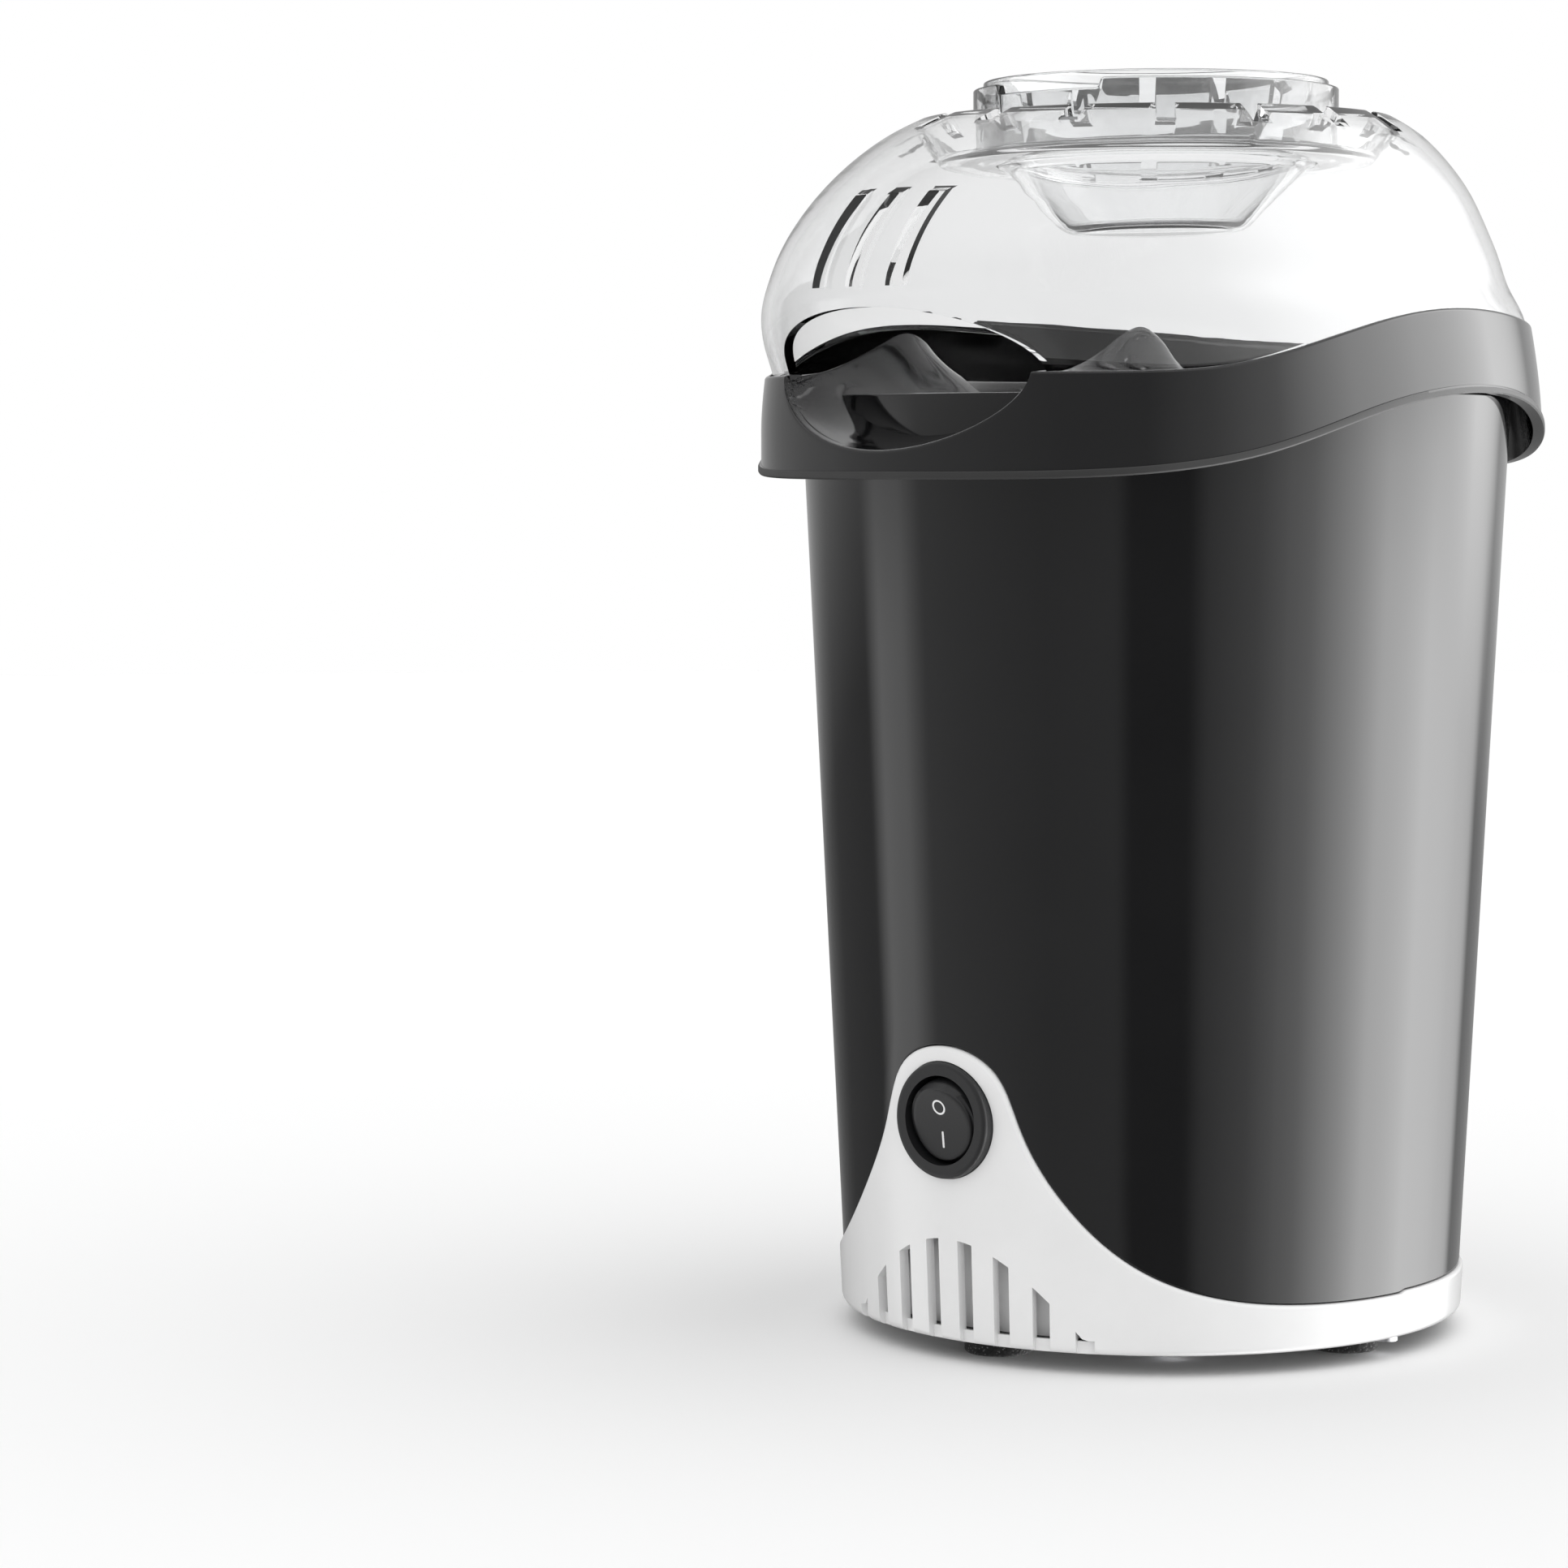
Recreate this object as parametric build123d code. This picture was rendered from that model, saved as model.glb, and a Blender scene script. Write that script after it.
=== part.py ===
from build123d import *
from math import cos, radians, sin, sqrt
import os

os.makedirs("parts", exist_ok=True)

# A hot-air popcorn maker. Millimetres, +Z up, the floor at z = 0 and the body's axis on Z.
# The front, with the chute and the switch, faces -Y.

# Fits
seam_gap = 0.2         # between pieces that butt end to end
slip_gap = 0.25        # radial room where one plastic piece slides into another
lift_gap = 0.3         # room around the pieces that a hand lifts off
bearing_gap = 0.05     # radial room of a turning shaft
hole_gap = 0.4         # radial room of a screw in its clearance hole

# Body: a round shell that widens upwards
body_floor_r = 70.4    # its outside radius, carried down to the floor
body_slope = 0.0496    # radius gained for each mm of height
body_wall = 2.2
body_top = 213.6

# Base: the white foot of the body, with a hump at the front for the switch
base_bottom = 4.6
base_proud = 0.9       # how far it stands outside the body
base_wall = 2.4
base_back_top = 15.0
base_round = 1.6       # rounding of its bottom edge
hump_half_outline = [  # x and z along the hump's edge, from its crest to the side
    (0, 70.6), (13.0, 65.4), (18.6, 53.5), (28.5, 37.0), (44.0, 22.6), (60.0, 16.0),
]
lip_height = 4.0       # the lip that stands up inside the body
lip_depth = 5.0
lip_wall = 1.5

# Air inlets in the base, narrow slots side by side
inlet_count = 8
inlet_pitch = 9.2
inlet_width = 3.8
inlet_bottom = 6.2
inlet_arch_top = 27.6
inlet_arch_fall = 0.0195
guard_r = body_floor_r - 4.2         # wall inside the slots that keeps fingers out
guard_wall = 1.4
guard_top = 31.0
guard_half_angle = 33.0

# Bottom plate and feet
plate_bottom = 5.0
plate_thick = 2.2
foot_r = 7.6
foot_ring_r = 55.0
foot_count = 4
foot_sunk = 0.8

# Collar: the oval upper housing that carries the chute
collar_reach = body_floor_r + 27.0    # half its depth, front to back
collar_side = body_floor_r + 13.2     # half its width
collar_wall = 2.0
collar_low = body_top - 23.6
collar_high = body_top + 20.4
collar_taper_from = body_top - 7.6
collar_taper = 3.6     # how far the sides lean in over the height above that level
collar_bead = 0.7
collar_bead_height = 1.8
edge_end = collar_reach + 12.6
top_edge = [           # y and z along the collar's top edge, front to back
    (-edge_end, body_top + 4.2), (-78, body_top + 4.2), (-60, body_top + 5.3),
    (-38, body_top + 11.0), (-14, body_top + 16.8), (9, body_top + 18.6),
    (36, body_top + 17.6), (70, body_top + 15.4), (edge_end, body_top + 13.9),
]
low_edge = [           # and along its lower edge
    (-edge_end, body_top - 18.6), (-74, body_top - 17.6), (-53, body_top - 13.6),
    (-26, body_top - 4.8), (9, body_top), (38, body_top - 2.6),
    (62, body_top - 9.2), (84, body_top - 15.2), (edge_end, body_top - 18.0),
]
deck_outer_z = body_top + 3.8
deck_inner_z = body_top
deck_wall = 2.2
deck_outer_r = collar_reach + 2.6
throat_r = 47.0
throat_wall = 2.4
spigot_low = body_top - 8.6
spigot_wall = 2.0
screw_boss_r = 2.6     # bosses on the deck that take the chamber's screws
seat_depth = 2.0       # rebate in the collar's top edge, where the dome stands
seat_lip = 1.0         # what is left outside the rebate

# Chute: a trough from the throat to the front of the collar
chute_half_width = 36.0
chute_depth = 19.0
chute_mouth_z = body_top + 4.6
chute_throat_half_width = 33.0
chute_throat_depth = 9.0
chute_throat_z = body_top + 7.9
chute_wall = 2.2
chute_front_y = -collar_reach - 8.6
chute_back_y = -40.0

# Dome: the clear cover
dome_wall = 2.2
crown_r = 53.4
dome_shoulder = [  # height, reach to the front, reach to the back, half width
    (body_top + 24.4, collar_reach + 4.0, collar_reach - 8.8, collar_side - 7.3),
    (body_top + 30.4, collar_reach + 1.2, collar_reach - 12.2, collar_side - 8.8),
    (body_top + 37.4, collar_reach - 4.0, collar_reach - 16.2, collar_side - 11.0),
    (body_top + 45.4, collar_reach - 12.8, collar_reach - 21.8, collar_side - 14.0),
    (body_top + 53.4, collar_reach - 24.2, collar_reach - 29.8, collar_side - 18.8),
    (body_top + 63.0, crown_r, crown_r, crown_r),
]
dome_skirt_low = body_top + 0.4
visor_skirt = [
    (body_top + 0.4, collar_reach - 5.4),
    (body_top + 5.4, collar_reach - 2.6),
    (body_top + 11.4, collar_reach + 1.8),
    (body_top + 17.4, collar_reach + 4.0),
]
dome_top = dome_shoulder[-1][0]
mouth_half_width = 36.5
mouth_low = body_top + 4.2
mouth_high = body_top + 18.0
recess_r = 48.4
recess_floor = body_top + 54.8
recess_wall = 2.0
ring_r = 41.6
ring_wall = 2.0
ring_top = body_top + 69.6
ring_dip = 2.3         # lowered stretch at the front of the ring
ring_dip_half_angle = 20.5
seat_lip_r = 36.6      # ledge inside the ring that the cup stands on
crest_slots = 18
crest_slot_width = 4.3
crest_slot_low = body_top + 58.0
vent_pitch = 11.2
vent_count = 3
vent_shift = -2.5
vent_width = 4.2
vent_low = body_top + 22.4
vent_high = body_top + 42.9

# Measuring cup, in the dome's ring
cup_top = body_top + 71.4
cup_wall = 1.8
cup_cone_r = 34.0
cup_floor_r = 20.5
cup_bottom = body_top + 37.8
cup_corner = 3.0

# Switch, round, in the hump
switch_z = 54.2
bezel_r = 13.0
bezel_front = 1.5      # how far it stands in front of the base
bezel_thick = 3.6
barrel_r = 10.9
switch_bore_r = 9.95
barrel_depth = 20.0
barrel_floor = 2.0
rocker_ball_r = 9.6
rocker_face = 4.6      # pivot to face
rocker_back = 4.0
rocker_tilt = 12.0     # either side of straight
rocker_pivot_depth = 4.4
rocker_pin_r = 1.2
terminal_size = (4.8, 9.0, 0.8)
terminal_pitch = 6.4
switch_pad_r = 16.0
switch_pad_thick = 3.0

# Motor and fan
motor_r = 18.0
motor_low = 33.0
motor_top = 66.0
motor_wall = 1.2
motor_face = 2.4
motor_screw_x = 9.9
shaft_r = 1.5
shaft_low = 30.4
shaft_top = 86.0
rotor_r = 11.0
rotor_low = 38.0
rotor_top = 60.0
magnet_r = motor_r - motor_wall
magnet_wall = 4.4
magnet_half_angle = 62.0
end_cap_low = 29.0
spider_thick = 3.0
spider_arm_width = 9.0
hub_r = 24.0
duct_r = 56.0
duct_wall = 2.2
duct_top = 92.0
duct_ledge_z = 84.0
duct_ledge = 2.4
post_r = 4.2
post_ring_r = 50.0
post_count = 4
post_pilot = 14.0
fan_r = 52.5
fan_hub_r = 8.0
fan_low = 73.0
fan_height = 11.0
fan_blades = 7
fan_blade_thick = 1.5
fan_blade_pitch = 32.0
fan_blade_chord = 17.0

# Heater
mica_low = 95.0
mica_height = 22.0
mica_thick = 0.8
mica_half_length = 57.0
coil_rings = (26.0, 36.0, 46.0)
coil_levels = (102.0, 110.0)
coil_wire_r = 0.7
coil_hole_r = 1.0

# Chamber and its shield
chamber_r = 46.0
chamber_wall = 0.8
chamber_low = 121.0
chamber_flange_r = 52.4
chamber_flange_z = body_top - 9.6
louvre_count = 20
louvre_size = (2.2, 10.0)
louvre_z = 131.0
louvre_lean = 35.0
shield_wall = 0.6

# Protection and rectifier
thermostat_r = 7.5
thermostat_depth = 6.0
thermostat_z = 150.0
thermostat_angle = 120.0
fuse_r = 2.0
fuse_length = 12.0
fuse_angle = 150.0
board_size = (24.0, 18.0, 1.6)
board_x = 36.0
board_z = 22.0
diode_r = 1.6
diode_length = 7.0
diode_pitch = 5.0

# Cord inlet at the back of the body
inlet_z = 27.0
cord_bore_r = 3.6
bush_neck_r = 5.0
bush_flange_r = 7.6
bush_flange = 2.0
clamp_size = (22.0, 7.0, 5.4)
clamp_y = 44.0
clamp_post_height = 12.0

# Screws
screw_r = 1.25
screw_head_r = 2.7
screw_head = 1.7
base_screw_ring_r = body_floor_r - 4.0
base_screw_angles = (90, 150, 210, 270)
pillar_r = 3.5
pillar_high = 44.0
collar_screw_angles = (58, 155, 205, 302)
collar_screw_z = body_top - 5.0
chamber_screw_ring_r = 49.7
lead_r = 1.1


# ---- Shared geometry ----

def body_r(z):
    return body_floor_r + body_slope * z


def around(radius, angle, z=0.0):
    """A place at this angle from the front, seen from above turning towards +X."""
    return Pos(radius * sin(radians(angle)), -radius * cos(radians(angle)), z)


def turned(*points):
    return revolve(Plane.XZ * make_face(Polyline(*points, close=True)), Axis.Z)


def tube(outer_r, inner_r, low, high):
    return turned((inner_r, low), (outer_r, low), (outer_r, high), (inner_r, high))


def rod(radius, low, high):
    return Pos(0, 0, low) * Cylinder(radius, high - low, align=(Align.CENTER, Align.CENTER, Align.MIN))


def rod_y(radius, from_y, to_y):
    """A round bar along Y."""
    return Pos(0, from_y, 0) * Rot(-90, 0, 0) * rod(radius, 0, to_y - from_y)


def body_skin(outside, inside, low, high):
    """A band of the body's own taper, between two offsets from its outer face."""
    return turned(
        (body_r(low) + inside, low),
        (body_r(low) + outside, low),
        (body_r(high) + outside, high),
        (body_r(high) + inside, high),
    )


def oval(z, front_reach, back_reach, half_width):
    back = EllipticalCenterArc((0, 0), half_width, back_reach, start_angle=0, arc_size=180)
    front = EllipticalCenterArc((0, 0), half_width, front_reach, start_angle=180, arc_size=180)
    return Pos(0, 0, z) * make_face(back + front)


def oval_solid(levels):
    """Solid through ovals given as height, front reach, back reach and half width."""
    return loft([oval(*level) for level in levels], ruled=True)


def under_edge(edge, shift=0.0):
    """All that lies under a side-view edge, right across the width."""
    crest = Spline(*[(y, z + shift) for y, z in edge])
    low_left = (edge[0][0], 0)
    low_right = (edge[-1][0], 0)
    outline = crest + Polyline(crest @ 1, low_right, low_left, crest @ 0)
    return extrude(Plane.YZ * make_face(outline), amount=deck_outer_r + 10, both=True)


def hump_line(shift):
    half = [(x, z + shift) for x, z in hump_half_outline]
    end = (body_floor_r + 20, base_back_top + shift)
    right = half[1:] + [end]
    left = [(-x, z) for x, z in reversed(right)]
    return Spline(*left, half[0], *right, tangents=((1, 0), (1, 0)))


def base_region(shift=0.0):
    """The space under the base's top edge: a hump in front, level at the back."""
    line = hump_line(shift)
    outline = line + Polyline(line @ 1, ((line @ 1).X, -5), ((line @ 0).X, -5), line @ 0)
    deep = body_floor_r + 20
    front = extrude(Plane.XZ * make_face(outline), amount=deep)
    back = Pos(0, deep / 2, 0) * Box(2 * deep, deep, 2 * (base_back_top + shift))
    return front + back


def collar_lean(z):
    rise = max(0.0, z - collar_taper_from) / (collar_high - collar_taper_from)
    return collar_taper * rise ** 1.6


def collar_levels(inset, low, high):
    steps = 6
    levels = []
    for step in range(steps + 1):
        z = low + (high - low) * step / steps
        off = inset + collar_lean(z)
        levels.append((z, collar_reach - off, collar_reach - off, collar_side - off))
    return levels


def collar_solid(inset, low=collar_low, high=collar_high):
    return oval_solid(collar_levels(inset, low, high))


def chute_solid(extra):
    """The chute's oval channel, or with extra its outside."""
    def section(y, z, half_width, depth):
        plane = Plane(origin=(0, y, z), x_dir=(1, 0, 0), z_dir=(0, -1, 0))
        return plane * Ellipse(half_width + extra, depth + extra)

    throat = section(chute_back_y, chute_throat_z, chute_throat_half_width, chute_throat_depth)
    mouth = section(chute_front_y, chute_mouth_z, chute_half_width, chute_depth)
    return loft([throat, mouth])


def base_front_y(z):
    return -(body_r(z) + base_proud)


# ---- Base, plate and feet ----

def switch_axis(shape):
    return Pos(0, 0, switch_z) * shape


def make_base_shell():
    top = hump_half_outline[0][1] + lip_height + 2
    wall = body_skin(base_proud, base_proud - base_wall, base_bottom, top) & base_region()
    band_inner = -(body_wall + slip_gap + lip_wall)
    band = body_skin(base_proud - base_wall + 0.3, band_inner, base_bottom, top)
    band = (band & base_region()) - base_region(-lip_depth)
    lip = body_skin(-(body_wall + slip_gap), band_inner, base_bottom, top)
    lip = (lip & base_region(lip_height)) - base_region(-lip_depth)
    shell = wall + band + lip
    rim = shell.edges().filter_by(GeomType.CIRCLE).group_by(Axis.Z)[0].sort_by(SortBy.RADIUS)[-1:]
    shell = fillet(rim, base_round)
    front = base_front_y(switch_z)
    pad = switch_axis(rod_y(switch_pad_r, front + base_wall - 1.2, front + base_wall + switch_pad_thick))
    pad = pad & base_region(-1.0)
    shell = shell + pad
    shell = shell - switch_axis(rod_y(bezel_r + slip_gap, front - 10, front + bezel_thick - bezel_front))
    shell = shell - switch_axis(rod_y(barrel_r + slip_gap, front - 10, front + 20))
    for angle in base_screw_angles:
        spot = around(base_screw_ring_r, angle)
        shell = shell + spot * rod(pillar_r, plate_top(), base_back_top - seam_gap)
        shell = shell - spot * rod(pillar_r + slip_gap, base_back_top - seam_gap, pillar_high)
        shell = shell - spot * rod(screw_r + hole_gap, 0, pillar_high)
    return shell - inlet_slots()


def inlet_slots():
    slots = []
    for index in range(inlet_count):
        x = (index - (inlet_count - 1) / 2) * inlet_pitch
        near = inlet_arch_top - inlet_arch_fall * (abs(x) - inlet_width / 2) ** 2
        far = inlet_arch_top - inlet_arch_fall * (abs(x) + inlet_width / 2) ** 2
        left, right = (far, near) if x < 0 else (near, far)
        outline = Polyline(
            (x - inlet_width / 2, inlet_bottom),
            (x + inlet_width / 2, inlet_bottom),
            (x + inlet_width / 2, max(right, inlet_bottom + 0.6)),
            (x - inlet_width / 2, max(left, inlet_bottom + 0.6)),
            close=True,
        )
        slots.append(extrude(Plane.XZ * make_face(outline), amount=body_floor_r + 20))
    return slots


def make_bottom_plate():
    plate_r = body_r(plate_bottom) + base_proud - base_wall - lift_gap
    plate = rod(plate_r, plate_bottom, plate_bottom + plate_thick)
    for ring in (18.0, 27.0, 36.0):
        count = int(ring / 1.5)
        for index in range(count):
            slot = Rot(0, 0, 360 * index / count) * Pos(ring, 0, plate_bottom + plate_thick / 2)
            plate = plate - slot * Box(6.0, 2.0, plate_thick + 2)
    for index in range(foot_count):
        recess = rod(foot_r + 0.2, plate_bottom - 1, plate_bottom + foot_sunk)
        plate = plate - around(foot_ring_r, 360 * index / foot_count) * recess
    for angle in base_screw_angles:
        plate = plate - around(base_screw_ring_r, angle) * rod(screw_r + hole_gap, 0, 10)
    for index in range(post_count):
        plate = plate - around(post_ring_r, post_angle(index)) * rod(screw_r + hole_gap, 0, 10)
    for x in (-1, 1):
        spot = Pos(board_x + x * (board_size[0] / 2 - 4), 0, 0)
        plate = plate + spot * rod(2.5, plate_bottom + plate_thick, board_z)
        post = Pos(x * (clamp_size[0] / 2 - 4), clamp_y, 0)
        plate = plate + post * rod(3.0, plate_bottom + plate_thick, plate_top() + clamp_post_height)
        plate = plate - post * rod(screw_r, plate_top() + 3, plate_top() + clamp_post_height + 1)
    return plate


def plate_top():
    return plate_bottom + plate_thick


def make_inlet_guard():
    """A low curved wall that stands on the plate behind the air slots."""
    wedge = front_wedge(guard_half_angle)
    return tube(guard_r, guard_r - guard_wall, plate_top(), guard_top) & wedge


def make_rubber_feet():
    feet = []
    for index in range(foot_count):
        foot = rod(foot_r, 0, plate_bottom + foot_sunk)
        foot = chamfer(foot.edges().group_by(Axis.Z)[0], 0.6)
        feet.append(around(foot_ring_r, 360 * index / foot_count) * foot)
    return feet


# ---- Body ----

def skin_outside():
    """All that lies outside the body, to trim what would break through its wall."""
    return body_skin(30, -0.5, 0, pillar_high + 1)


def make_body_shell():
    shell = body_skin(0, -body_wall, base_bottom, body_top) - base_region()
    for angle in base_screw_angles:
        pillar = rod(pillar_r, base_back_top, pillar_high)
        pillar = pillar - rod(screw_r, base_back_top - 1, pillar_high - 4)
        shell = shell + around(base_screw_ring_r, angle) * (pillar - skin_outside())
    front_y = 17.4 - collar_reach
    trough = chute_solid(chute_wall + hole_gap) & Pos(0, front_y, body_top) * Box(120, 60, 60)
    shell = shell - trough
    shell = shell - Pos(0, 0, inlet_z) * rod_y(bush_neck_r + slip_gap, 50, 90)
    for angle in collar_screw_angles:
        shell = shell - radial(angle, collar_screw_z, rod(screw_r + hole_gap, 60, 100))
    return shell


def radial(angle, z, shape):
    """Turns a shape made along +Z so that it points outwards at this angle from the front."""
    return Pos(0, 0, z) * Rot(0, 0, angle) * Rot(90, 0, 0) * shape


# ---- Collar with its chute ----

def make_collar():
    outer = collar_solid(0)
    skirt = (outer - collar_solid(collar_wall)) & under_edge(top_edge)
    bead = collar_solid(-collar_bead) - collar_solid(collar_wall)
    bead = (bead & under_edge(low_edge, collar_bead_height)) - under_edge(low_edge)
    skirt = skirt - under_edge(low_edge)
    deck = turned(
        (throat_r, deck_inner_z - deck_wall),
        (deck_outer_r, deck_outer_z - deck_wall),
        (deck_outer_r, deck_outer_z),
        (throat_r, deck_inner_z),
    )
    deck = deck & outer
    throat = tube(throat_r + throat_wall, throat_r, chamber_flange_z + chamber_wall, deck_inner_z - 0.5)
    spigot_r = body_r(spigot_low) - body_wall - slip_gap
    spigot = tube(spigot_r, spigot_r - spigot_wall, spigot_low, deck_inner_z)
    trough = chute_solid(chute_wall) & outer & rod(deck_outer_r + 10, collar_low, deck_outer_z)
    trough = trough - rod(throat_r + throat_wall / 2, 0, collar_high + 10)
    collar = skirt + bead + deck + throat + spigot + trough
    for index in range(post_count):
        boss = rod(screw_boss_r, chamber_flange_z + chamber_wall, deck_inner_z - 1)
        collar = collar + around(chamber_screw_ring_r, post_angle(index)) * boss
    collar = collar - chute_solid(0)
    rebate = under_edge(top_edge, 20) - under_edge(top_edge, -seat_depth)
    collar = collar - (rebate & collar_solid(seat_lip, low=dome_skirt_low))
    for index in range(post_count):
        pilot = rod(screw_r, deck_inner_z - 13.6, deck_inner_z - 2.2)
        collar = collar - around(chamber_screw_ring_r, post_angle(index)) * pilot
    for angle in collar_screw_angles:
        collar = collar - radial(angle, collar_screw_z, rod(screw_r, 70, spigot_r + 1))
    return collar


def post_angle(index):
    return 45 + 360 * index / post_count


# ---- Dome and cup ----

def dome_levels(inset):
    """Ovals of the dome's outside, moved in by the inset."""
    levels = []
    for z, visor_reach in visor_skirt:
        off = collar_lean(z) + seat_lip + slip_gap
        levels.append((z, visor_reach, collar_reach - off, collar_side - off))
    levels = levels + dome_shoulder
    return [(z, front - inset, back - inset, side - inset) for z, front, back, side in levels]


def dome_inside():
    """The room under the dome: the dome's ovals moved in by its wall, open below."""
    levels = dome_levels(dome_wall)
    low = levels[0]
    levels[0] = (low[0] - 2, low[1], low[2], low[3])
    inner_r = crown_r - recess_wall
    levels[-1] = (dome_top - dome_wall * 0.6, inner_r, inner_r, inner_r)
    return oval_solid(levels)


def make_dome():
    under_z = recess_floor - recess_wall
    rim = turned(
        (crown_r + 1.0, dome_top - 0.4),
        (crown_r, dome_top),
        (recess_r, recess_floor),
        (ring_r, recess_floor),
        (ring_r, ring_top),
        (ring_r - ring_wall, ring_top),
        (ring_r - ring_wall, recess_floor),
        (seat_lip_r, recess_floor),
        (seat_lip_r, under_z),
        (recess_r + 1.0, under_z),
        (crown_r + 2.4, dome_top - 1.8),
    )
    above = dome_top + 6
    well = turned(
        (0, 0),
        (recess_r, 0),
        (recess_r, recess_floor),
        (crown_r, dome_top),
        (crown_r, above),
        (0, above),
    )
    dome = oval_solid(dome_levels(0)) - dome_inside() - well + rim
    seat_space = collar_solid(seat_lip + slip_gap, low=dome_skirt_low - 6)
    dome = dome - (under_edge(top_edge, lift_gap) - seat_space)
    dome = dome - under_edge(top_edge, lift_gap - seat_depth)
    mouth = extrude(Ellipse(mouth_half_width, mouth_high - mouth_low), amount=40, both=True)
    front_y = 7.4 - collar_reach
    dome = dome - Pos(0, front_y, mouth_low) * Rot(90, 0, 0) * mouth
    for index in range(vent_count):
        x = vent_shift + (index - (vent_count - 1) / 2) * vent_pitch
        vent = Box(vent_width, 50, vent_high - vent_low)
        dome = dome - Pos(x, front_y, (vent_low + vent_high) / 2) * vent
    for index in range(crest_slots):
        spot = Rot(0, 0, 360 * (index + 0.5) / crest_slots) * Pos(recess_r + 6, 0, crest_slot_low + 5)
        dome = dome - spot * Box(14, crest_slot_width, 10)
    dip = tube(ring_r + 1, ring_r - ring_wall - 1, ring_top - ring_dip, ring_top + 1)
    return dome - (dip & front_wedge(ring_dip_half_angle))


def front_wedge(half_angle):
    """A wedge about the front, as far as the ring and more."""
    far = 2 * ring_r
    x = far * sin(radians(half_angle))
    y = -far * cos(radians(half_angle))
    wedge = make_face(Polyline((0, 0), (x, y), (-x, y), close=True))
    return extrude(wedge, amount=400)


def make_measuring_cup():
    outer_r = ring_r - ring_wall - lift_gap
    seat_z = recess_floor + lift_gap
    cone_r = seat_lip_r - lift_gap
    floor_top = cup_bottom + cup_wall
    cup = turned(
        (0, cup_bottom),
        (cup_floor_r, cup_bottom),
        (cup_cone_r, recess_floor - recess_wall - 1.0),
        (cone_r, recess_floor - recess_wall),
        (cone_r, seat_z),
        (outer_r, seat_z),
        (outer_r, cup_top),
        (outer_r - cup_wall, cup_top),
        (outer_r - cup_wall, seat_z + cup_wall),
        (cone_r - cup_wall, seat_z + cup_wall),
        (cup_cone_r - cup_wall, recess_floor - recess_wall),
        (cup_floor_r - cup_wall * 0.6, floor_top),
        (0, floor_top),
    )
    corner = cup.edges().filter_by(GeomType.CIRCLE).group_by(Axis.Z)[0].sort_by(SortBy.RADIUS)[-1:]
    return fillet(corner, cup_corner)


# ---- Switch ----

def pivot_y():
    return base_front_y(switch_z) - bezel_front + rocker_pivot_depth


def make_switch_body():
    front = base_front_y(switch_z) - bezel_front
    bezel = rod_y(bezel_r, front, front + bezel_thick)
    bezel = fillet(bezel.edges().group_by(Axis.Y)[0], 1.1)
    barrel = rod_y(barrel_r, front + 1, front + barrel_depth)
    body = bezel + barrel
    body = body - rod_y(switch_bore_r, front - 1, front + barrel_depth - barrel_floor)
    body = switch_axis(body)
    return body - rocker_pin_bar(rocker_pin_r, barrel_r - 0.3)


def rocker_pin_bar(radius, half_length):
    bar = Rot(0, 90, 0) * rod(radius, -half_length, half_length)
    return Pos(0, pivot_y(), switch_z) * bar


def make_switch_rocker():
    ball = Sphere(rocker_ball_r)
    span = rocker_face + rocker_back
    slab = Pos(0, (rocker_back - rocker_face) / 2, 0) * Box(30, span, 30)
    rocker = ball & slab
    rocker = fillet(rocker.edges().group_by(Axis.Y)[0], 0.5)
    rocker = rocker - Rot(0, 90, 0) * rod(rocker_pin_r + bearing_gap, -15, 15)
    return Pos(0, pivot_y(), switch_z) * Rot(rocker_tilt, 0, 0) * rocker


def make_rocker_pin():
    return rocker_pin_bar(rocker_pin_r, barrel_r - 0.3)


def make_switch_terminals():
    back = base_front_y(switch_z) - bezel_front + barrel_depth
    width, length, thick = terminal_size
    blades = []
    for step in (-1, 0, 1):
        blade = Pos(0, back + length / 2, switch_z + step * terminal_pitch) * Box(width, length, thick)
        blades.append(blade)
    return blades


# ---- Motor, fan and duct ----

def make_motor_can():
    can = rod(motor_r, motor_low, motor_top)
    can = can - rod(motor_r - motor_wall, motor_low - 1, motor_top - motor_face)
    can = can - rod(shaft_r + bearing_gap, motor_low, motor_top + 1)
    for x in (-motor_screw_x, motor_screw_x):
        can = can - Pos(x, 0, 0) * rod(screw_r, motor_top - 2, motor_top + 1)
    return can


def make_motor_end_cap():
    lip_r = motor_r - motor_wall
    cap = rod(motor_r, end_cap_low + 1.6, motor_low) + rod(lip_r, motor_low - 0.5, motor_low + 1.5)
    cap = cap + rod(5.0, end_cap_low, end_cap_low + 2)
    return cap - rod(shaft_r + bearing_gap, end_cap_low - 1, motor_low + 3)


def make_motor_magnets():
    ring = tube(magnet_r, magnet_r - magnet_wall, rotor_low, rotor_top)
    wedge = front_wedge(magnet_half_angle)
    return [ring & wedge, ring & (Rot(0, 0, 180) * wedge)]


def make_motor_rotor():
    rotor = rod(rotor_r, rotor_low, rotor_top) - rod(shaft_r, rotor_low - 1, rotor_top + 1)
    for index in range(5):
        slot = Rot(0, 0, 72 * index) * Pos(rotor_r, 0, (rotor_low + rotor_top) / 2)
        rotor = rotor - slot * Box(6, 1.6, rotor_top - rotor_low + 2)
    return rotor


def make_motor_shaft():
    return rod(shaft_r, shaft_low, shaft_top)


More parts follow.
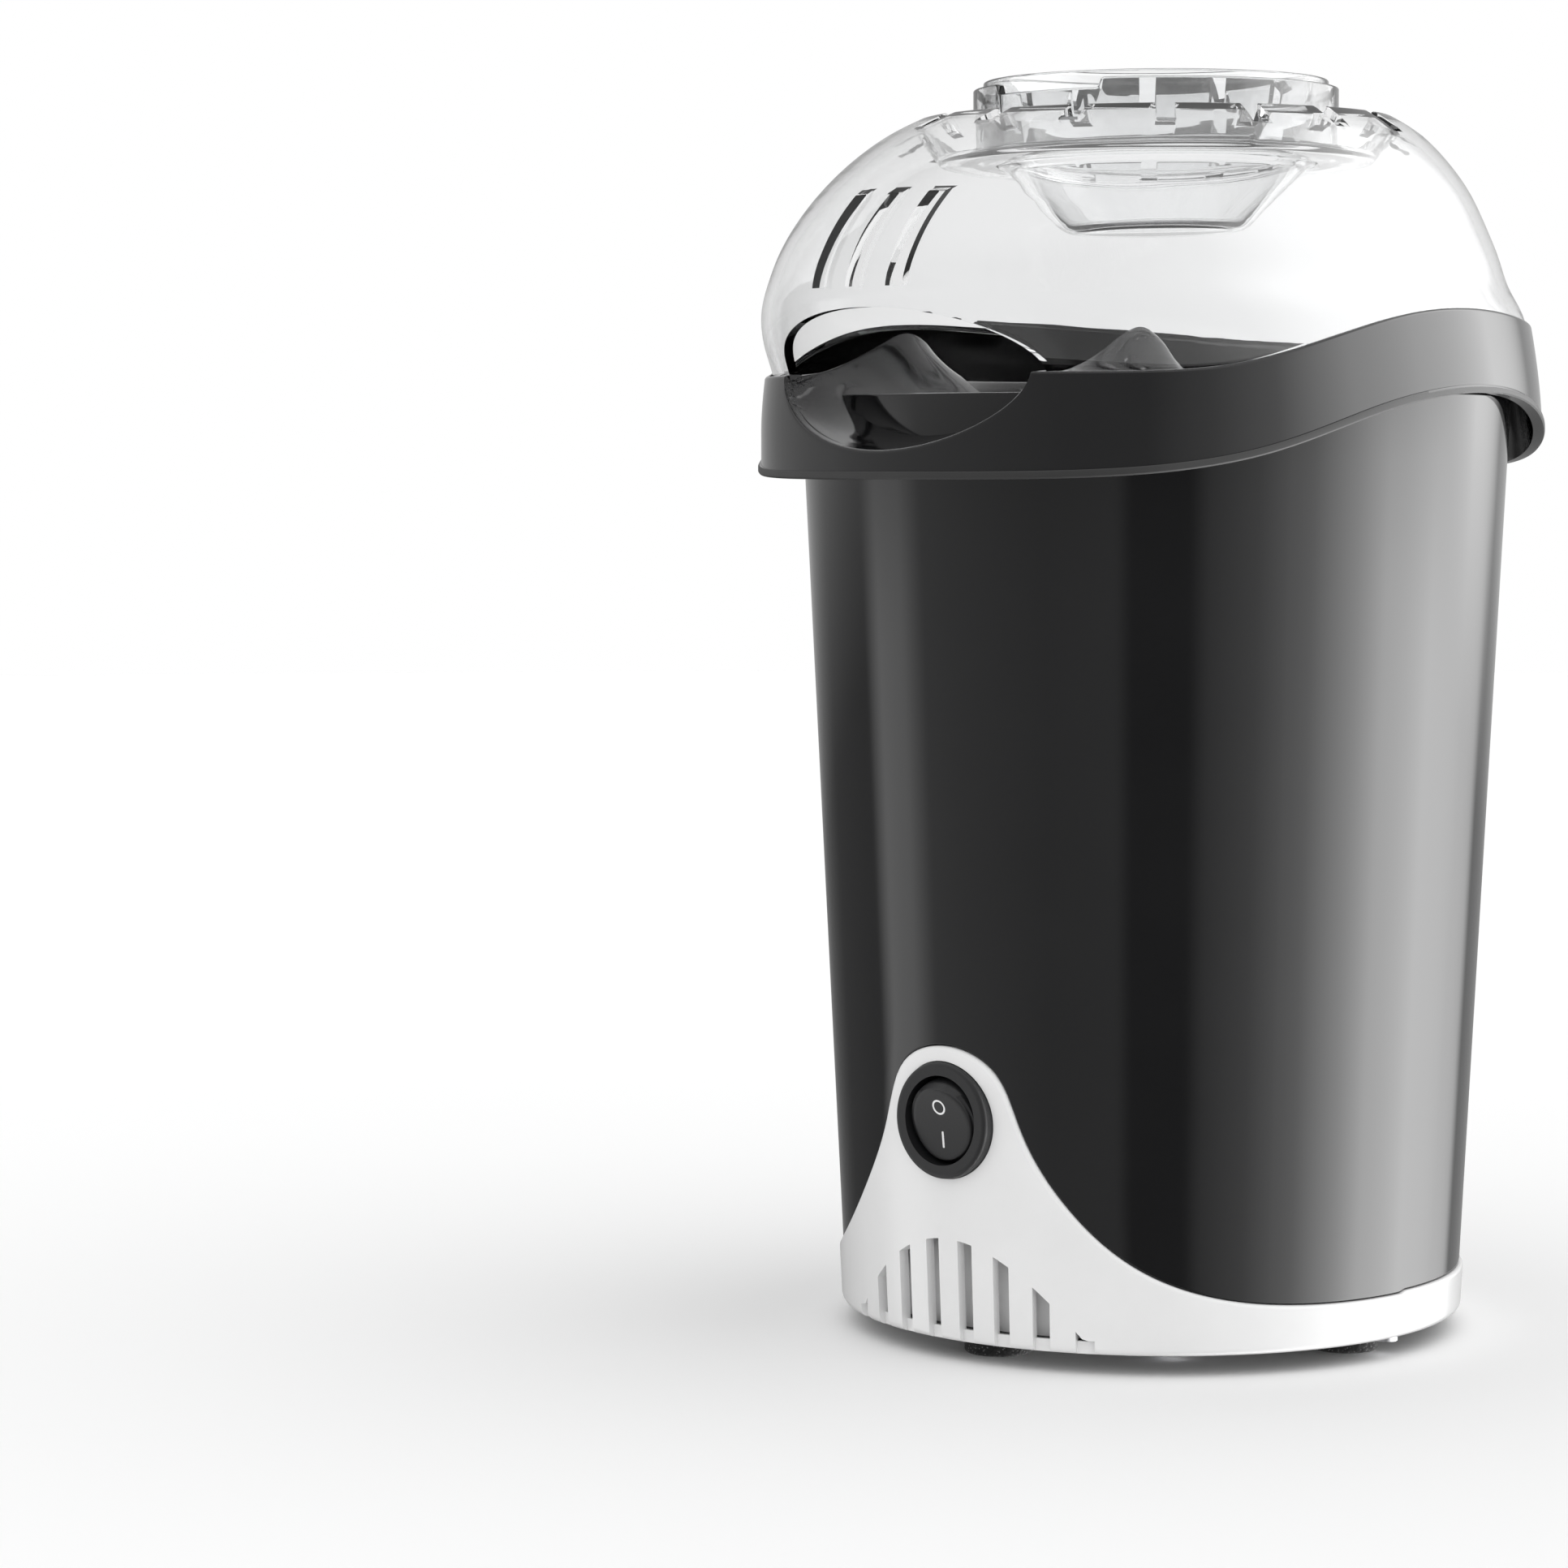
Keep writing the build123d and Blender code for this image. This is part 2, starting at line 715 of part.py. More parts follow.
def make_fan_impeller():
    middle = fan_low + fan_height / 2
    fan = rod(fan_hub_r, fan_low, fan_low + fan_height)
    reach = fan_r + 4
    for index in range(fan_blades):
        blade = Rot(fan_blade_pitch, 0, 0) * Box(reach, fan_blade_chord, fan_blade_thick)
        blade = Pos(fan_hub_r - 2 + reach / 2, 0, middle) * blade
        fan = fan + Rot(0, 0, 360 * index / fan_blades) * blade
    fan = fan & rod(fan_r, fan_low, fan_low + fan_height)
    return fan - rod(shaft_r, fan_low - 1, fan_low + fan_height + 1)


def make_fan_duct():
    spider_z = motor_top
    duct = tube(duct_r + duct_wall, duct_r, spider_z, duct_top)
    ledge_r = duct_r + duct_wall + duct_ledge
    duct = duct + tube(ledge_r, duct_r, duct_ledge_z, duct_ledge_z + 2)
    duct = duct + rod(hub_r, spider_z, spider_z + spider_thick)
    for index in range(post_count):
        arm = Box(duct_r - hub_r + 4, spider_arm_width, spider_thick)
        arm = Pos((hub_r + duct_r) / 2, 0, spider_z + spider_thick / 2) * arm
        duct = duct + Rot(0, 0, 45 + 90 * index) * arm
        post = rod(post_r, plate_top(), spider_z + 1)
        post = post - rod(screw_r, plate_top() - 1, plate_top() + post_pilot)
        duct = duct + around(post_ring_r, post_angle(index)) * post
    duct = duct - rod(shaft_r + 2, spider_z - 1, spider_z + spider_thick + 1)
    for x in (-motor_screw_x, motor_screw_x):
        duct = duct - Pos(x, 0, 0) * rod(screw_r + hole_gap, spider_z - 1, spider_z + spider_thick + 1)
    return duct


# ---- Heater, chamber and shield ----

def coil_ring(radius, z, wire_r):
    return Pos(0, 0, z) * Torus(radius, wire_r)


def make_heater_frame():
    middle = mica_low + mica_height / 2
    plate = Box(2 * mica_half_length, mica_thick, mica_height)
    frame = Pos(0, 0, middle) * (plate + Rot(0, 0, 90) * plate)
    for radius in coil_rings:
        for z in coil_levels:
            frame = frame - coil_ring(radius, z, coil_hole_r)
    return frame


def make_heating_coil():
    link_angle = 20
    coil = None
    for z in coil_levels:
        for radius in coil_rings:
            ring = coil_ring(radius, z, coil_wire_r)
            coil = ring if coil is None else coil + ring
        length = coil_rings[-1] - coil_rings[0]
        link = Pos(coil_rings[0], 0, z) * Rot(0, 90, 0) * rod(coil_wire_r, 0, length)
        coil = coil + Rot(0, 0, link_angle) * link
    riser = Pos(coil_rings[-1], 0, 0) * rod(coil_wire_r, coil_levels[0], coil_levels[1])
    return coil + Rot(0, 0, link_angle) * riser


def make_popping_chamber():
    inner_r = chamber_r - chamber_wall
    top = chamber_flange_z + chamber_wall
    chamber = turned(
        (0, chamber_low),
        (chamber_r, chamber_low),
        (chamber_r, chamber_flange_z),
        (chamber_flange_r, chamber_flange_z),
        (chamber_flange_r, top),
        (inner_r, top),
        (inner_r, chamber_low + chamber_wall),
        (0, chamber_low + chamber_wall),
    )
    width, height = louvre_size
    for index in range(louvre_count):
        slot = Pos(chamber_r, 0, louvre_z) * Rot(louvre_lean, 0, 0) * Box(6, width, height)
        chamber = chamber - Rot(0, 0, 360 * index / louvre_count) * slot
    return with_flange_holes(chamber)


def with_flange_holes(piece):
    for index in range(post_count):
        hole = rod(screw_r + 0.2, chamber_flange_z - 5, chamber_flange_z + 5)
        piece = piece - around(chamber_screw_ring_r, post_angle(index)) * hole
    return piece


def shield_r():
    return duct_r + duct_wall + 0.4


def make_heat_shield():
    inner = shield_r()
    low = duct_ledge_z + 2
    shield = tube(inner + shield_wall, inner, low, chamber_flange_z)
    shield = shield + tube(inner + 0.1, chamber_r + 0.4, chamber_flange_z - shield_wall, chamber_flange_z)
    return with_flange_holes(shield)


# ---- Protection, rectifier and cord inlet ----

def make_thermostat():
    start = shield_r() + shield_wall
    can = rod(thermostat_r, start, start + thermostat_depth)
    can = can + rod(thermostat_r - 2, start + thermostat_depth - 0.5, start + thermostat_depth + 1.5)
    return radial(thermostat_angle, thermostat_z, can)


def make_thermal_fuse():
    ring_radius = shield_r() + shield_wall + fuse_r
    fuse = rod(fuse_r, thermostat_z - fuse_length / 2, thermostat_z + fuse_length / 2)
    fuse = fuse + rod(0.5, thermostat_z - fuse_length, thermostat_z + fuse_length)
    return around(ring_radius, fuse_angle) * fuse


def make_rectifier_board():
    return Pos(board_x, 0, board_z + board_size[2] / 2) * Box(*board_size)


def make_rectifier_diodes():
    diodes = []
    z = board_z + board_size[2] + diode_r
    for step in (-1.5, -0.5, 0.5, 1.5):
        diode = Rot(90, 0, 0) * rod(diode_r, -diode_length / 2, diode_length / 2)
        diode = Pos(board_x + step * diode_pitch, 0, z) * diode
        diodes.append(diode)
    return diodes


def make_cord_bush():
    wall_y = body_r(inlet_z)
    inside_y = sqrt((wall_y - body_wall) ** 2 - bush_flange_r ** 2) - 2 * slip_gap
    outer_y = wall_y + 2 * slip_gap
    outer = rod_y(bush_flange_r, outer_y, outer_y + bush_flange)
    outer = fillet(outer.edges().group_by(Axis.Y)[-1], 0.8)
    neck = rod_y(bush_neck_r, inside_y - 1, wall_y + 1)
    inner = rod_y(bush_flange_r - 1, inside_y - bush_flange, inside_y)
    bush = (outer + neck + inner) - rod_y(cord_bore_r, 40, 90)
    return Pos(0, 0, inlet_z) * bush


def make_cord_clamp():
    z = plate_top() + clamp_post_height
    length, width, thick = clamp_size
    bar = Pos(0, clamp_y, z + thick / 2) * Box(length, width, thick)
    bar = bar - Pos(0, clamp_y, z) * rod_y(cord_bore_r, -10, 10)
    for x in (-1, 1):
        bar = bar - Pos(x * (length / 2 - 4), clamp_y, 0) * rod(screw_r + 0.2, z - 1, z + thick + 1)
    return bar


# ---- Screws and leads ----

def screw_up(head_z, length):
    """A screw with its head below, pointing up."""
    return rod(screw_head_r, head_z - screw_head, head_z) + rod(screw_r, head_z - 0.5, head_z + length)


def screw_down(head_z, length):
    return rod(screw_head_r, head_z, head_z + screw_head) + rod(screw_r, head_z - length, head_z + 0.5)


def make_base_screws():
    screw = screw_up(plate_bottom, pillar_high - 8 - plate_bottom)
    return [around(base_screw_ring_r, angle) * screw for angle in base_screw_angles]


def make_duct_screws():
    spots = [around(post_ring_r, post_angle(index)) for index in range(post_count)]
    return [spot * screw_up(plate_bottom, plate_thick + post_pilot - 2) for spot in spots]


def make_motor_screws():
    top = motor_top + spider_thick
    return [Pos(x, 0, 0) * screw_down(top, spider_thick + 1.8) for x in (-motor_screw_x, motor_screw_x)]


def make_chamber_screws():
    head_z = chamber_flange_z - shield_wall
    spots = [around(chamber_screw_ring_r, post_angle(index)) for index in range(post_count)]
    return [spot * screw_up(head_z, 7.0) for spot in spots]


def make_collar_screws():
    head_r = body_r(collar_screw_z)
    head_low = head_r + lift_gap
    head = rod(screw_head_r, head_low, head_low + screw_head)
    screw = head + rod(screw_r, head_r - body_wall - 3, head_low + 0.5)
    return [radial(angle, collar_screw_z, screw) for angle in collar_screw_angles]


def make_clamp_screws():
    z = plate_top() + clamp_post_height + clamp_size[2]
    screw = screw_down(z, clamp_size[2] + 7)
    return [Pos(x * (clamp_size[0] / 2 - 4), clamp_y, 0) * screw for x in (-1, 1)]


def lead(*route):
    path = FilletPolyline(*route, radius=5)
    section = Plane(origin=path @ 0, z_dir=path % 0) * Circle(lead_r)
    return sweep(section, path=path)


def make_motor_lead():
    """The lead from the switch's lowest blade to the edge of the rectifier board."""
    start_y = base_front_y(switch_z) - bezel_front + barrel_depth + terminal_size[1]
    high_z = switch_z - terminal_pitch
    low_z = board_z + board_size[2] / 2
    end_x = board_x - board_size[0] / 4
    return lead(
        (0, start_y, high_z),
        (0, start_y + 14, high_z),
        (end_x - 2, start_y + 22, (high_z + low_z) / 2),
        (end_x, start_y + 24, low_z),
        (end_x, -board_size[1] / 2, low_z),
    )


def write(name, shape):
    """Exports one piece, or a group of separate ones."""
    pieces = shape if isinstance(shape, list) else [shape]
    solids = [solid for piece in pieces for solid in piece.solids()]
    node = solids[0] if len(solids) == 1 else Compound(children=solids)
    node.label = name
    export_step(node, "parts/" + name + ".step")


write("base_shell", make_base_shell())
write("bottom_plate", make_bottom_plate())
write("inlet_guard", make_inlet_guard())
write("rubber_feet", make_rubber_feet())
write("body_shell", make_body_shell())
write("collar", make_collar())
write("dome", make_dome())
write("measuring_cup", make_measuring_cup())
write("switch_body", make_switch_body())
write("switch_rocker", make_switch_rocker())
write("rocker_pin", make_rocker_pin())
write("switch_terminals", make_switch_terminals())
write("motor_can", make_motor_can())
write("motor_end_cap", make_motor_end_cap())
write("motor_magnets", make_motor_magnets())
write("motor_rotor", make_motor_rotor())
write("motor_shaft", make_motor_shaft())
write("fan_impeller", make_fan_impeller())
write("fan_duct", make_fan_duct())
write("heater_frame", make_heater_frame())
write("heating_coil", make_heating_coil())
write("popping_chamber", make_popping_chamber())
write("heat_shield", make_heat_shield())
write("thermostat", make_thermostat())
write("thermal_fuse", make_thermal_fuse())
write("rectifier_board", make_rectifier_board())
write("rectifier_diodes", make_rectifier_diodes())
write("cord_bush", make_cord_bush())
write("cord_clamp", make_cord_clamp())
write("base_screws", make_base_screws())
write("duct_screws", make_duct_screws())
write("motor_screws", make_motor_screws())
write("chamber_screws", make_chamber_screws())
write("collar_screws", make_collar_screws())
write("clamp_screws", make_clamp_screws())
write("motor_lead", make_motor_lead())
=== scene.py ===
import bisect
import math

import bmesh
import bpy
from mathutils import Matrix, Vector


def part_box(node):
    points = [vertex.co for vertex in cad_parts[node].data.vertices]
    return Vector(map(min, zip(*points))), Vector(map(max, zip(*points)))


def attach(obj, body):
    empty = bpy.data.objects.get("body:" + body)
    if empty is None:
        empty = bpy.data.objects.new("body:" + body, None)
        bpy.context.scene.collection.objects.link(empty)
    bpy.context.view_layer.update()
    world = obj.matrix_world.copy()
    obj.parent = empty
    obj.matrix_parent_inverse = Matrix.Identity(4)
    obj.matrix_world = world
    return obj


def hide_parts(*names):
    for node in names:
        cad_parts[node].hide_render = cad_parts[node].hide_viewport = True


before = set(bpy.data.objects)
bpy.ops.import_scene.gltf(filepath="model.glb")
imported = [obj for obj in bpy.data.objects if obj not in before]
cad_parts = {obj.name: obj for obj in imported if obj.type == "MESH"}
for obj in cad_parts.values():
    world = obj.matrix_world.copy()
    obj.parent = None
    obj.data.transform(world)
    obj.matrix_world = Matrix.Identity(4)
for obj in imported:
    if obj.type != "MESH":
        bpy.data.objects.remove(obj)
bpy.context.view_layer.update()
print("frame loaded:", len(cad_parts), "nodes")

mm = 0.001
fullTurn = 2 * math.pi


# lowest and highest corner of a CAD node, in mm
def boxOf(node):
    low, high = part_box(node)
    return low / mm, high / mm


# natural cubic through points of any number of values, spaced by their distance
def splineThrough(points, stepsPerSpan=24):
    count = len(points)
    width = len(points[0])
    knots = [0.0]
    for a, b in zip(points, points[1:]):
        knots.append(knots[-1] + math.dist(a, b))
    spans = [knots[i + 1] - knots[i] for i in range(count - 1)]
    bends = []
    for value in range(width):
        upper, right = [0.0] * count, [0.0] * count
        for i in range(1, count - 1):
            slopeAfter = (points[i + 1][value] - points[i][value]) / spans[i]
            slopeBefore = (points[i][value] - points[i - 1][value]) / spans[i - 1]
            pivot = 2 * (spans[i - 1] + spans[i]) - spans[i - 1] * upper[i - 1]
            upper[i] = spans[i] / pivot
            right[i] = (6 * (slopeAfter - slopeBefore) - spans[i - 1] * right[i - 1]) / pivot
        bend = [0.0] * count
        for i in range(count - 2, 0, -1):
            bend[i] = right[i] - upper[i] * bend[i + 1]
        bends.append(bend)
    line = []
    for i in range(count - 1):
        last = 1 if i == count - 2 else 0
        for step in range(stepsPerSpan + last):
            t = step / stepsPerSpan
            h = spans[i]
            place = []
            for value in range(width):
                a, b = points[i][value], points[i + 1][value]
                ma, mb = bends[value][i], bends[value][i + 1]
                bow = ((1 - t) ** 3 - (1 - t)) * ma + (t ** 3 - t) * mb
                place.append(a + (b - a) * t + bow * h * h / 6)
            line.append(tuple(place))
    return line


# height of a drawn edge over one coordinate
class EdgeLine:
    def __init__(self, points):
        self.line = splineThrough(points, 40)
        self.across = [p[0] for p in self.line]

    def at(self, x):
        i = min(max(bisect.bisect_left(self.across, x), 1), len(self.line) - 1)
        (xa, za), (xb, zb) = self.line[i - 1], self.line[i]
        return za + (zb - za) * (x - xa) / (xb - xa)


# rounds the corners of a closed profile; each corner is (out, height, radius)
def roundedProfile(corners, segments=4):
    rounded = []
    count = len(corners)
    for i in range(count):
        here = Vector(corners[i][:2])
        before = Vector(corners[i - 1][:2]) - here
        after = Vector(corners[(i + 1) % count][:2]) - here
        radius = corners[i][2]
        if radius <= 0:
            rounded.append(tuple(here))
            continue
        reach = min(radius, before.length * 0.48, after.length * 0.48)
        start = here + before.normalized() * reach
        end = here + after.normalized() * reach
        for step in range(segments + 1):
            t = step / segments
            rounded.append(tuple(start * (1 - t) ** 2 + here * 2 * t * (1 - t) + end * t * t))
    return rounded


def meshObject(name, points, faces, smoothAngle=35.0):
    mesh = bpy.data.meshes.new(name)
    mesh.from_pydata([(x * mm, y * mm, z * mm) for x, y, z in points], [], faces)
    piece = bpy.data.objects.new(name, mesh)
    bpy.context.scene.collection.objects.link(piece)
    cleanMesh(piece)
    smoothByAngle(piece, smoothAngle)
    return piece


# merges doubled points, drops empty faces and turns all faces outwards
def cleanMesh(piece):
    work = bmesh.new()
    work.from_mesh(piece.data)
    bmesh.ops.remove_doubles(work, verts=work.verts, dist=2e-6)
    bmesh.ops.dissolve_degenerate(work, edges=work.edges, dist=1e-7)
    bmesh.ops.recalc_face_normals(work, faces=work.faces)
    work.to_mesh(piece.data)
    work.free()


def smoothByAngle(piece, degrees):
    mesh = piece.data
    work = bmesh.new()
    work.from_mesh(mesh)
    limit = math.radians(degrees)
    for face in work.faces:
        face.smooth = True
    for edge in work.edges:
        edge.smooth = not edge.is_manifold or edge.calc_face_angle(0.0) < limit
    work.to_mesh(mesh)
    work.free()
    mesh.update()


# rings of equal profiles joined into one closed skin
def ringSkin(name, rings, closedProfile=True, smoothAngle=35.0):
    rows = len(rings[0])
    points = [p for ring in rings for p in ring]
    faces = []
    for i in range(len(rings)):
        j = (i + 1) % len(rings)
        for k in range(rows if closedProfile else rows - 1):
            m = (k + 1) % rows
            faces.append((i * rows + k, j * rows + k, j * rows + m, i * rows + m))
    return meshObject(name, points, faces, smoothAngle)


# a turned piece about a vertical line; the profile's points are (radius, height)
def turnedPiece(name, profile, centre=(0.0, 0.0), steps=128, closedProfile=True, smoothAngle=35.0):
    rings = []
    for i in range(steps):
        t = fullTurn * i / steps
        rings.append([(centre[0] + r * math.sin(t), centre[1] - r * math.cos(t), z) for r, z in profile])
    return ringSkin(name, rings, closedProfile, smoothAngle)


def applyModifiers(piece):
    bpy.context.view_layer.update()
    evaluated = piece.evaluated_get(bpy.context.evaluated_depsgraph_get())
    mesh = bpy.data.meshes.new_from_object(evaluated)
    piece.modifiers.clear()
    piece.data = mesh


# a straight prism along Y or Z, only used to cut with
def cutterPrism(outline, along, start, end):
    count = len(outline)
    points = []
    for depth in (start, end):
        for a, b in outline:
            points.append((a, depth, b) if along == "y" else (a, b, depth))
    faces = [tuple(range(count)), tuple(range(2 * count - 1, count - 1, -1))]
    for i in range(count):
        j = (i + 1) % count
        faces.append((i, j, j + count, i + count))
    return points, faces


def cutAway(piece, prisms, smoothAngle=35.0):
    points, faces = [], []
    for prismPoints, prismFaces in prisms:
        shift = len(points)
        points += prismPoints
        faces += [tuple(i + shift for i in face) for face in prismFaces]
    cutter = meshObject("cutter", points, faces)
    cut = piece.modifiers.new("cut", "BOOLEAN")
    cut.operation = "DIFFERENCE"
    cut.solver = "EXACT"
    cut.object = cutter
    applyModifiers(piece)
    bpy.data.objects.remove(cutter)
    cleanMesh(piece)
    smoothByAngle(piece, smoothAngle)


def evenNormals(piece):
    weighted = piece.modifiers.new("even", "WEIGHTED_NORMAL")
    weighted.keep_sharp = True
    weighted.weight = 80


def finishPiece(piece, body, material, replaced=()):
    piece.data.materials.clear()
    piece.data.materials.append(material)
    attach(piece, body)
    if replaced:
        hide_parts(*replaced)
    return piece


def newMaterial(name):
    material = bpy.data.materials.new(name)
    material.use_nodes = True
    nodes, links = material.node_tree.nodes, material.node_tree.links
    return material, nodes, links, nodes["Principled BSDF"]


def noiseFrom(nodes, links, place, scale, detail):
    noise = nodes.new("ShaderNodeTexNoise")
    noise.inputs["Scale"].default_value = scale
    noise.inputs["Detail"].default_value = detail
    links.new(place, noise.inputs["Vector"])
    return noise.outputs["Fac"]


def roughnessFrom(nodes, links, shader, pattern, limits):
    gloss = nodes.new("ShaderNodeMapRange")
    gloss.inputs["To Min"].default_value = limits[0]
    gloss.inputs["To Max"].default_value = limits[1]
    links.new(pattern, gloss.inputs["Value"])
    links.new(gloss.outputs["Result"], shader.inputs["Roughness"])


def bumpFrom(nodes, links, shader, pattern, strength, depth):
    bump = nodes.new("ShaderNodeBump")
    bump.inputs["Strength"].default_value = strength
    bump.inputs["Distance"].default_value = depth
    links.new(pattern, bump.inputs["Height"])
    links.new(bump.outputs["Normal"], shader.inputs["Normal"])


def coloursFrom(nodes, links, shader, pattern, first, second):
    colours = nodes.new("ShaderNodeValToRGB")
    for element, (position, colour) in zip(colours.color_ramp.elements, (first, second)):
        element.position = position
        element.color = (*colour, 1.0)
    links.new(pattern, colours.inputs["Fac"])
    links.new(colours.outputs["Color"], shader.inputs["Base Color"])


# moulded or cast finish: colour mottling, uneven gloss and a fine surface texture
def mouldedFinish(name, look):
    material, nodes, links, shader = newMaterial(name)
    place = nodes.new("ShaderNodeTexCoord")
    stretch = nodes.new("ShaderNodeMapping")
    stretch.inputs["Scale"].default_value = look.get("stretch", (1.0, 1.0, 1.0))
    links.new(place.outputs["Object"], stretch.inputs["Vector"])
    spot = stretch.outputs["Vector"]
    dark, light = look["colour"]
    mottle = noiseFrom(nodes, links, spot, look.get("mottleScale", 40.0), 5.0)
    coloursFrom(nodes, links, shader, mottle, (0.3, dark), (0.7, light))
    smudge = noiseFrom(nodes, links, spot, look.get("smudgeScale", 18.0), 4.0)
    roughnessFrom(nodes, links, shader, smudge, look["rough"])
    grain = noiseFrom(nodes, links, spot, look.get("grainScale", 900.0), 3.0)
    bumpFrom(nodes, links, shader, grain, look.get("grainStrength", 0.05), look.get("grainDepth", 0.0001))
    shader.inputs["Metallic"].default_value = look.get("metallic", 0.0)
    shader.inputs["IOR"].default_value = look.get("ior", 1.5)
    shader.inputs["Coat Weight"].default_value = look.get("coat", 0.0)
    shader.inputs["Coat Roughness"].default_value = look.get("coatRough", 0.03)
    return material


# clear moulded plastic
def clearFinish(name, look):
    material, nodes, links, shader = newMaterial(name)
    place = nodes.new("ShaderNodeTexCoord")
    flow = noiseFrom(nodes, links, place.outputs["Object"], look["flowScale"], 2.0)
    bumpFrom(nodes, links, shader, flow, look["flowStrength"], look["flowDepth"])
    roughnessFrom(nodes, links, shader, flow, look["rough"])
    shader.inputs["Base Color"].default_value = (*look["colour"], 1.0)
    shader.inputs["Transmission Weight"].default_value = 1.0
    shader.inputs["IOR"].default_value = look["ior"]
    return material


# dark foam rubber with pale specks and open pores
def foamRubberFinish(name, look):
    material, nodes, links, shader = newMaterial(name)
    place = nodes.new("ShaderNodeTexCoord")
    pores = nodes.new("ShaderNodeTexVoronoi")
    pores.inputs["Scale"].default_value = look["poreScale"]
    links.new(place.outputs["Object"], pores.inputs["Vector"])
    pattern = pores.outputs["Distance"]
    first, second = (look["speckSize"], look["speck"]), (look["speckSize"] + 0.12, look["rubber"])
    coloursFrom(nodes, links, shader, pattern, first, second)
    bumpFrom(nodes, links, shader, pattern, 0.6, look["poreDepth"])
    roughnessFrom(nodes, links, shader, pattern, (0.7, 0.95))
    return material


finishLooks = {
    "whiteShell": {
        "colour": ((0.80, 0.80, 0.80), (0.84, 0.84, 0.84)), "rough": (0.16, 0.24),
        "grainStrength": 0.03,
    },
    "pianoBlack": {
        "colour": ((0.0045, 0.0045, 0.005), (0.006, 0.006, 0.0065)), "rough": (0.06, 0.10),
        "grainStrength": 0.012,
    },
    # bead finish: the rougher matte black is real, but its colour is lighter than the piano black as
    # painted light caught from below
    "beadMatteAndPaintedLight": {
        "colour": ((0.02, 0.02, 0.02), (0.032, 0.032, 0.032)), "rough": (0.45, 0.55),
        "grainStrength": 0.15,
    },
    "satinBlack": {
        "colour": ((0.011, 0.011, 0.012), (0.016, 0.016, 0.017)), "rough": (0.36, 0.46),
        "grainScale": 2600.0, "grainStrength": 0.25,
    },
    "legendWhite": {"colour": ((0.82, 0.82, 0.82), (0.88, 0.88, 0.88)), "rough": (0.4, 0.5)},
    "innerPlastic": {
        "colour": ((0.012, 0.012, 0.012), (0.02, 0.02, 0.02)), "rough": (0.5, 0.65),
        "grainStrength": 0.3,
    },
    "heatPlastic": {
        "colour": ((0.02, 0.02, 0.022), (0.035, 0.035, 0.036)), "rough": (0.45, 0.6),
        "grainStrength": 0.25,
    },
    "screwSteel": {
        "colour": ((0.5, 0.5, 0.52), (0.62, 0.62, 0.64)), "rough": (0.25, 0.4), "metallic": 1.0,
        "grainStrength": 0.1,
    },
    "contactBrass": {
        "colour": ((0.62, 0.46, 0.2), (0.74, 0.58, 0.28)), "rough": (0.25, 0.4), "metallic": 1.0,
    },
    "zincSteel": {
        "colour": ((0.5, 0.51, 0.53), (0.62, 0.63, 0.65)), "rough": (0.28, 0.45), "metallic": 1.0,
        "mottleScale": 160.0, "grainStrength": 0.12,
    },
    "sinteredMagnet": {
        "colour": ((0.06, 0.06, 0.065), (0.1, 0.1, 0.105)), "rough": (0.5, 0.7), "grainStrength": 0.4,
    },
    "micaSheet": {
        "colour": ((0.42, 0.34, 0.2), (0.62, 0.54, 0.38)), "rough": (0.3, 0.5), "mottleScale": 220.0,
        "stretch": (1.0, 1.0, 3.0), "grainStrength": 0.3,
    },
    "resistanceWire": {
        "colour": ((0.16, 0.15, 0.14), (0.3, 0.28, 0.26)), "rough": (0.35, 0.55), "metallic": 1.0,
    },
    "drawnAluminium": {
        "colour": ((0.68, 0.68, 0.69), (0.76, 0.76, 0.77)), "rough": (0.2, 0.34), "metallic": 1.0,
        "stretch": (1.0, 1.0, 0.06), "smudgeScale": 220.0, "grainScale": 700.0, "grainStrength": 0.12,
    },
    "ceramicBody": {
        "colour": ((0.68, 0.65, 0.58), (0.78, 0.76, 0.7)), "rough": (0.45, 0.6), "grainStrength": 0.2,
    },
    "phenolicBoard": {
        "colour": ((0.26, 0.15, 0.05), (0.36, 0.22, 0.08)), "rough": (0.4, 0.55), "mottleScale": 120.0,
    },
    "diodeEpoxy": {"colour": ((0.01, 0.01, 0.01), (0.018, 0.018, 0.018)), "rough": (0.35, 0.5)},
    "leadSleeve": {
        "colour": ((0.7, 0.7, 0.66), (0.8, 0.8, 0.76)), "rough": (0.4, 0.55), "grainStrength": 0.15,
    },
    "coreStack": {
        "colour": ((0.16, 0.16, 0.17), (0.3, 0.3, 0.31)), "rough": (0.4, 0.6), "metallic": 1.0,
        "stretch": (1.0, 1.0, 30.0), "grainStrength": 0.3,
    },
    "cordRubber": {
        "colour": ((0.012, 0.012, 0.012), (0.02, 0.02, 0.02)), "rough": (0.5, 0.65),
        "grainStrength": 0.25,
    },
}
finishes = {name: mouldedFinish(name, look) for name, look in finishLooks.items()}
clearLook = {
    "colour": (0.985, 0.988, 0.99), "ior": 1.5, "rough": (0.0, 0.02),
    "flowScale": 22.0, "flowStrength": 0.06, "flowDepth": 0.001,
}
finishes["clearShell"] = clearFinish("clearShell", clearLook)
foamLook = {
    "poreScale": 1500.0, "poreDepth": 0.0003, "speckSize": 0.16,
    "speck": (0.16, 0.16, 0.16), "rubber": (0.012, 0.012, 0.012),
}
finishes["foamRubber"] = foamRubberFinish("foamRubber", foamLook)
print("finishes made:", len(finishes))


bodyHigh = boxOf("body_shell")[1]
baseLow = boxOf("base_shell")[0]
collarHigh = boxOf("collar")[1]
domeHigh = boxOf("dome")[1]
cupLow, cupHigh = boxOf("measuring_cup")

body = {"slope": 0.0496, "wall": 2.2, "topRound": 0.5, "edgeGap": 0.15, "edgeRound": 0.45, "rows": 14}


def bodyRadius(z):
    return bodyHigh.x - body["slope"] * (bodyHigh.z - z)


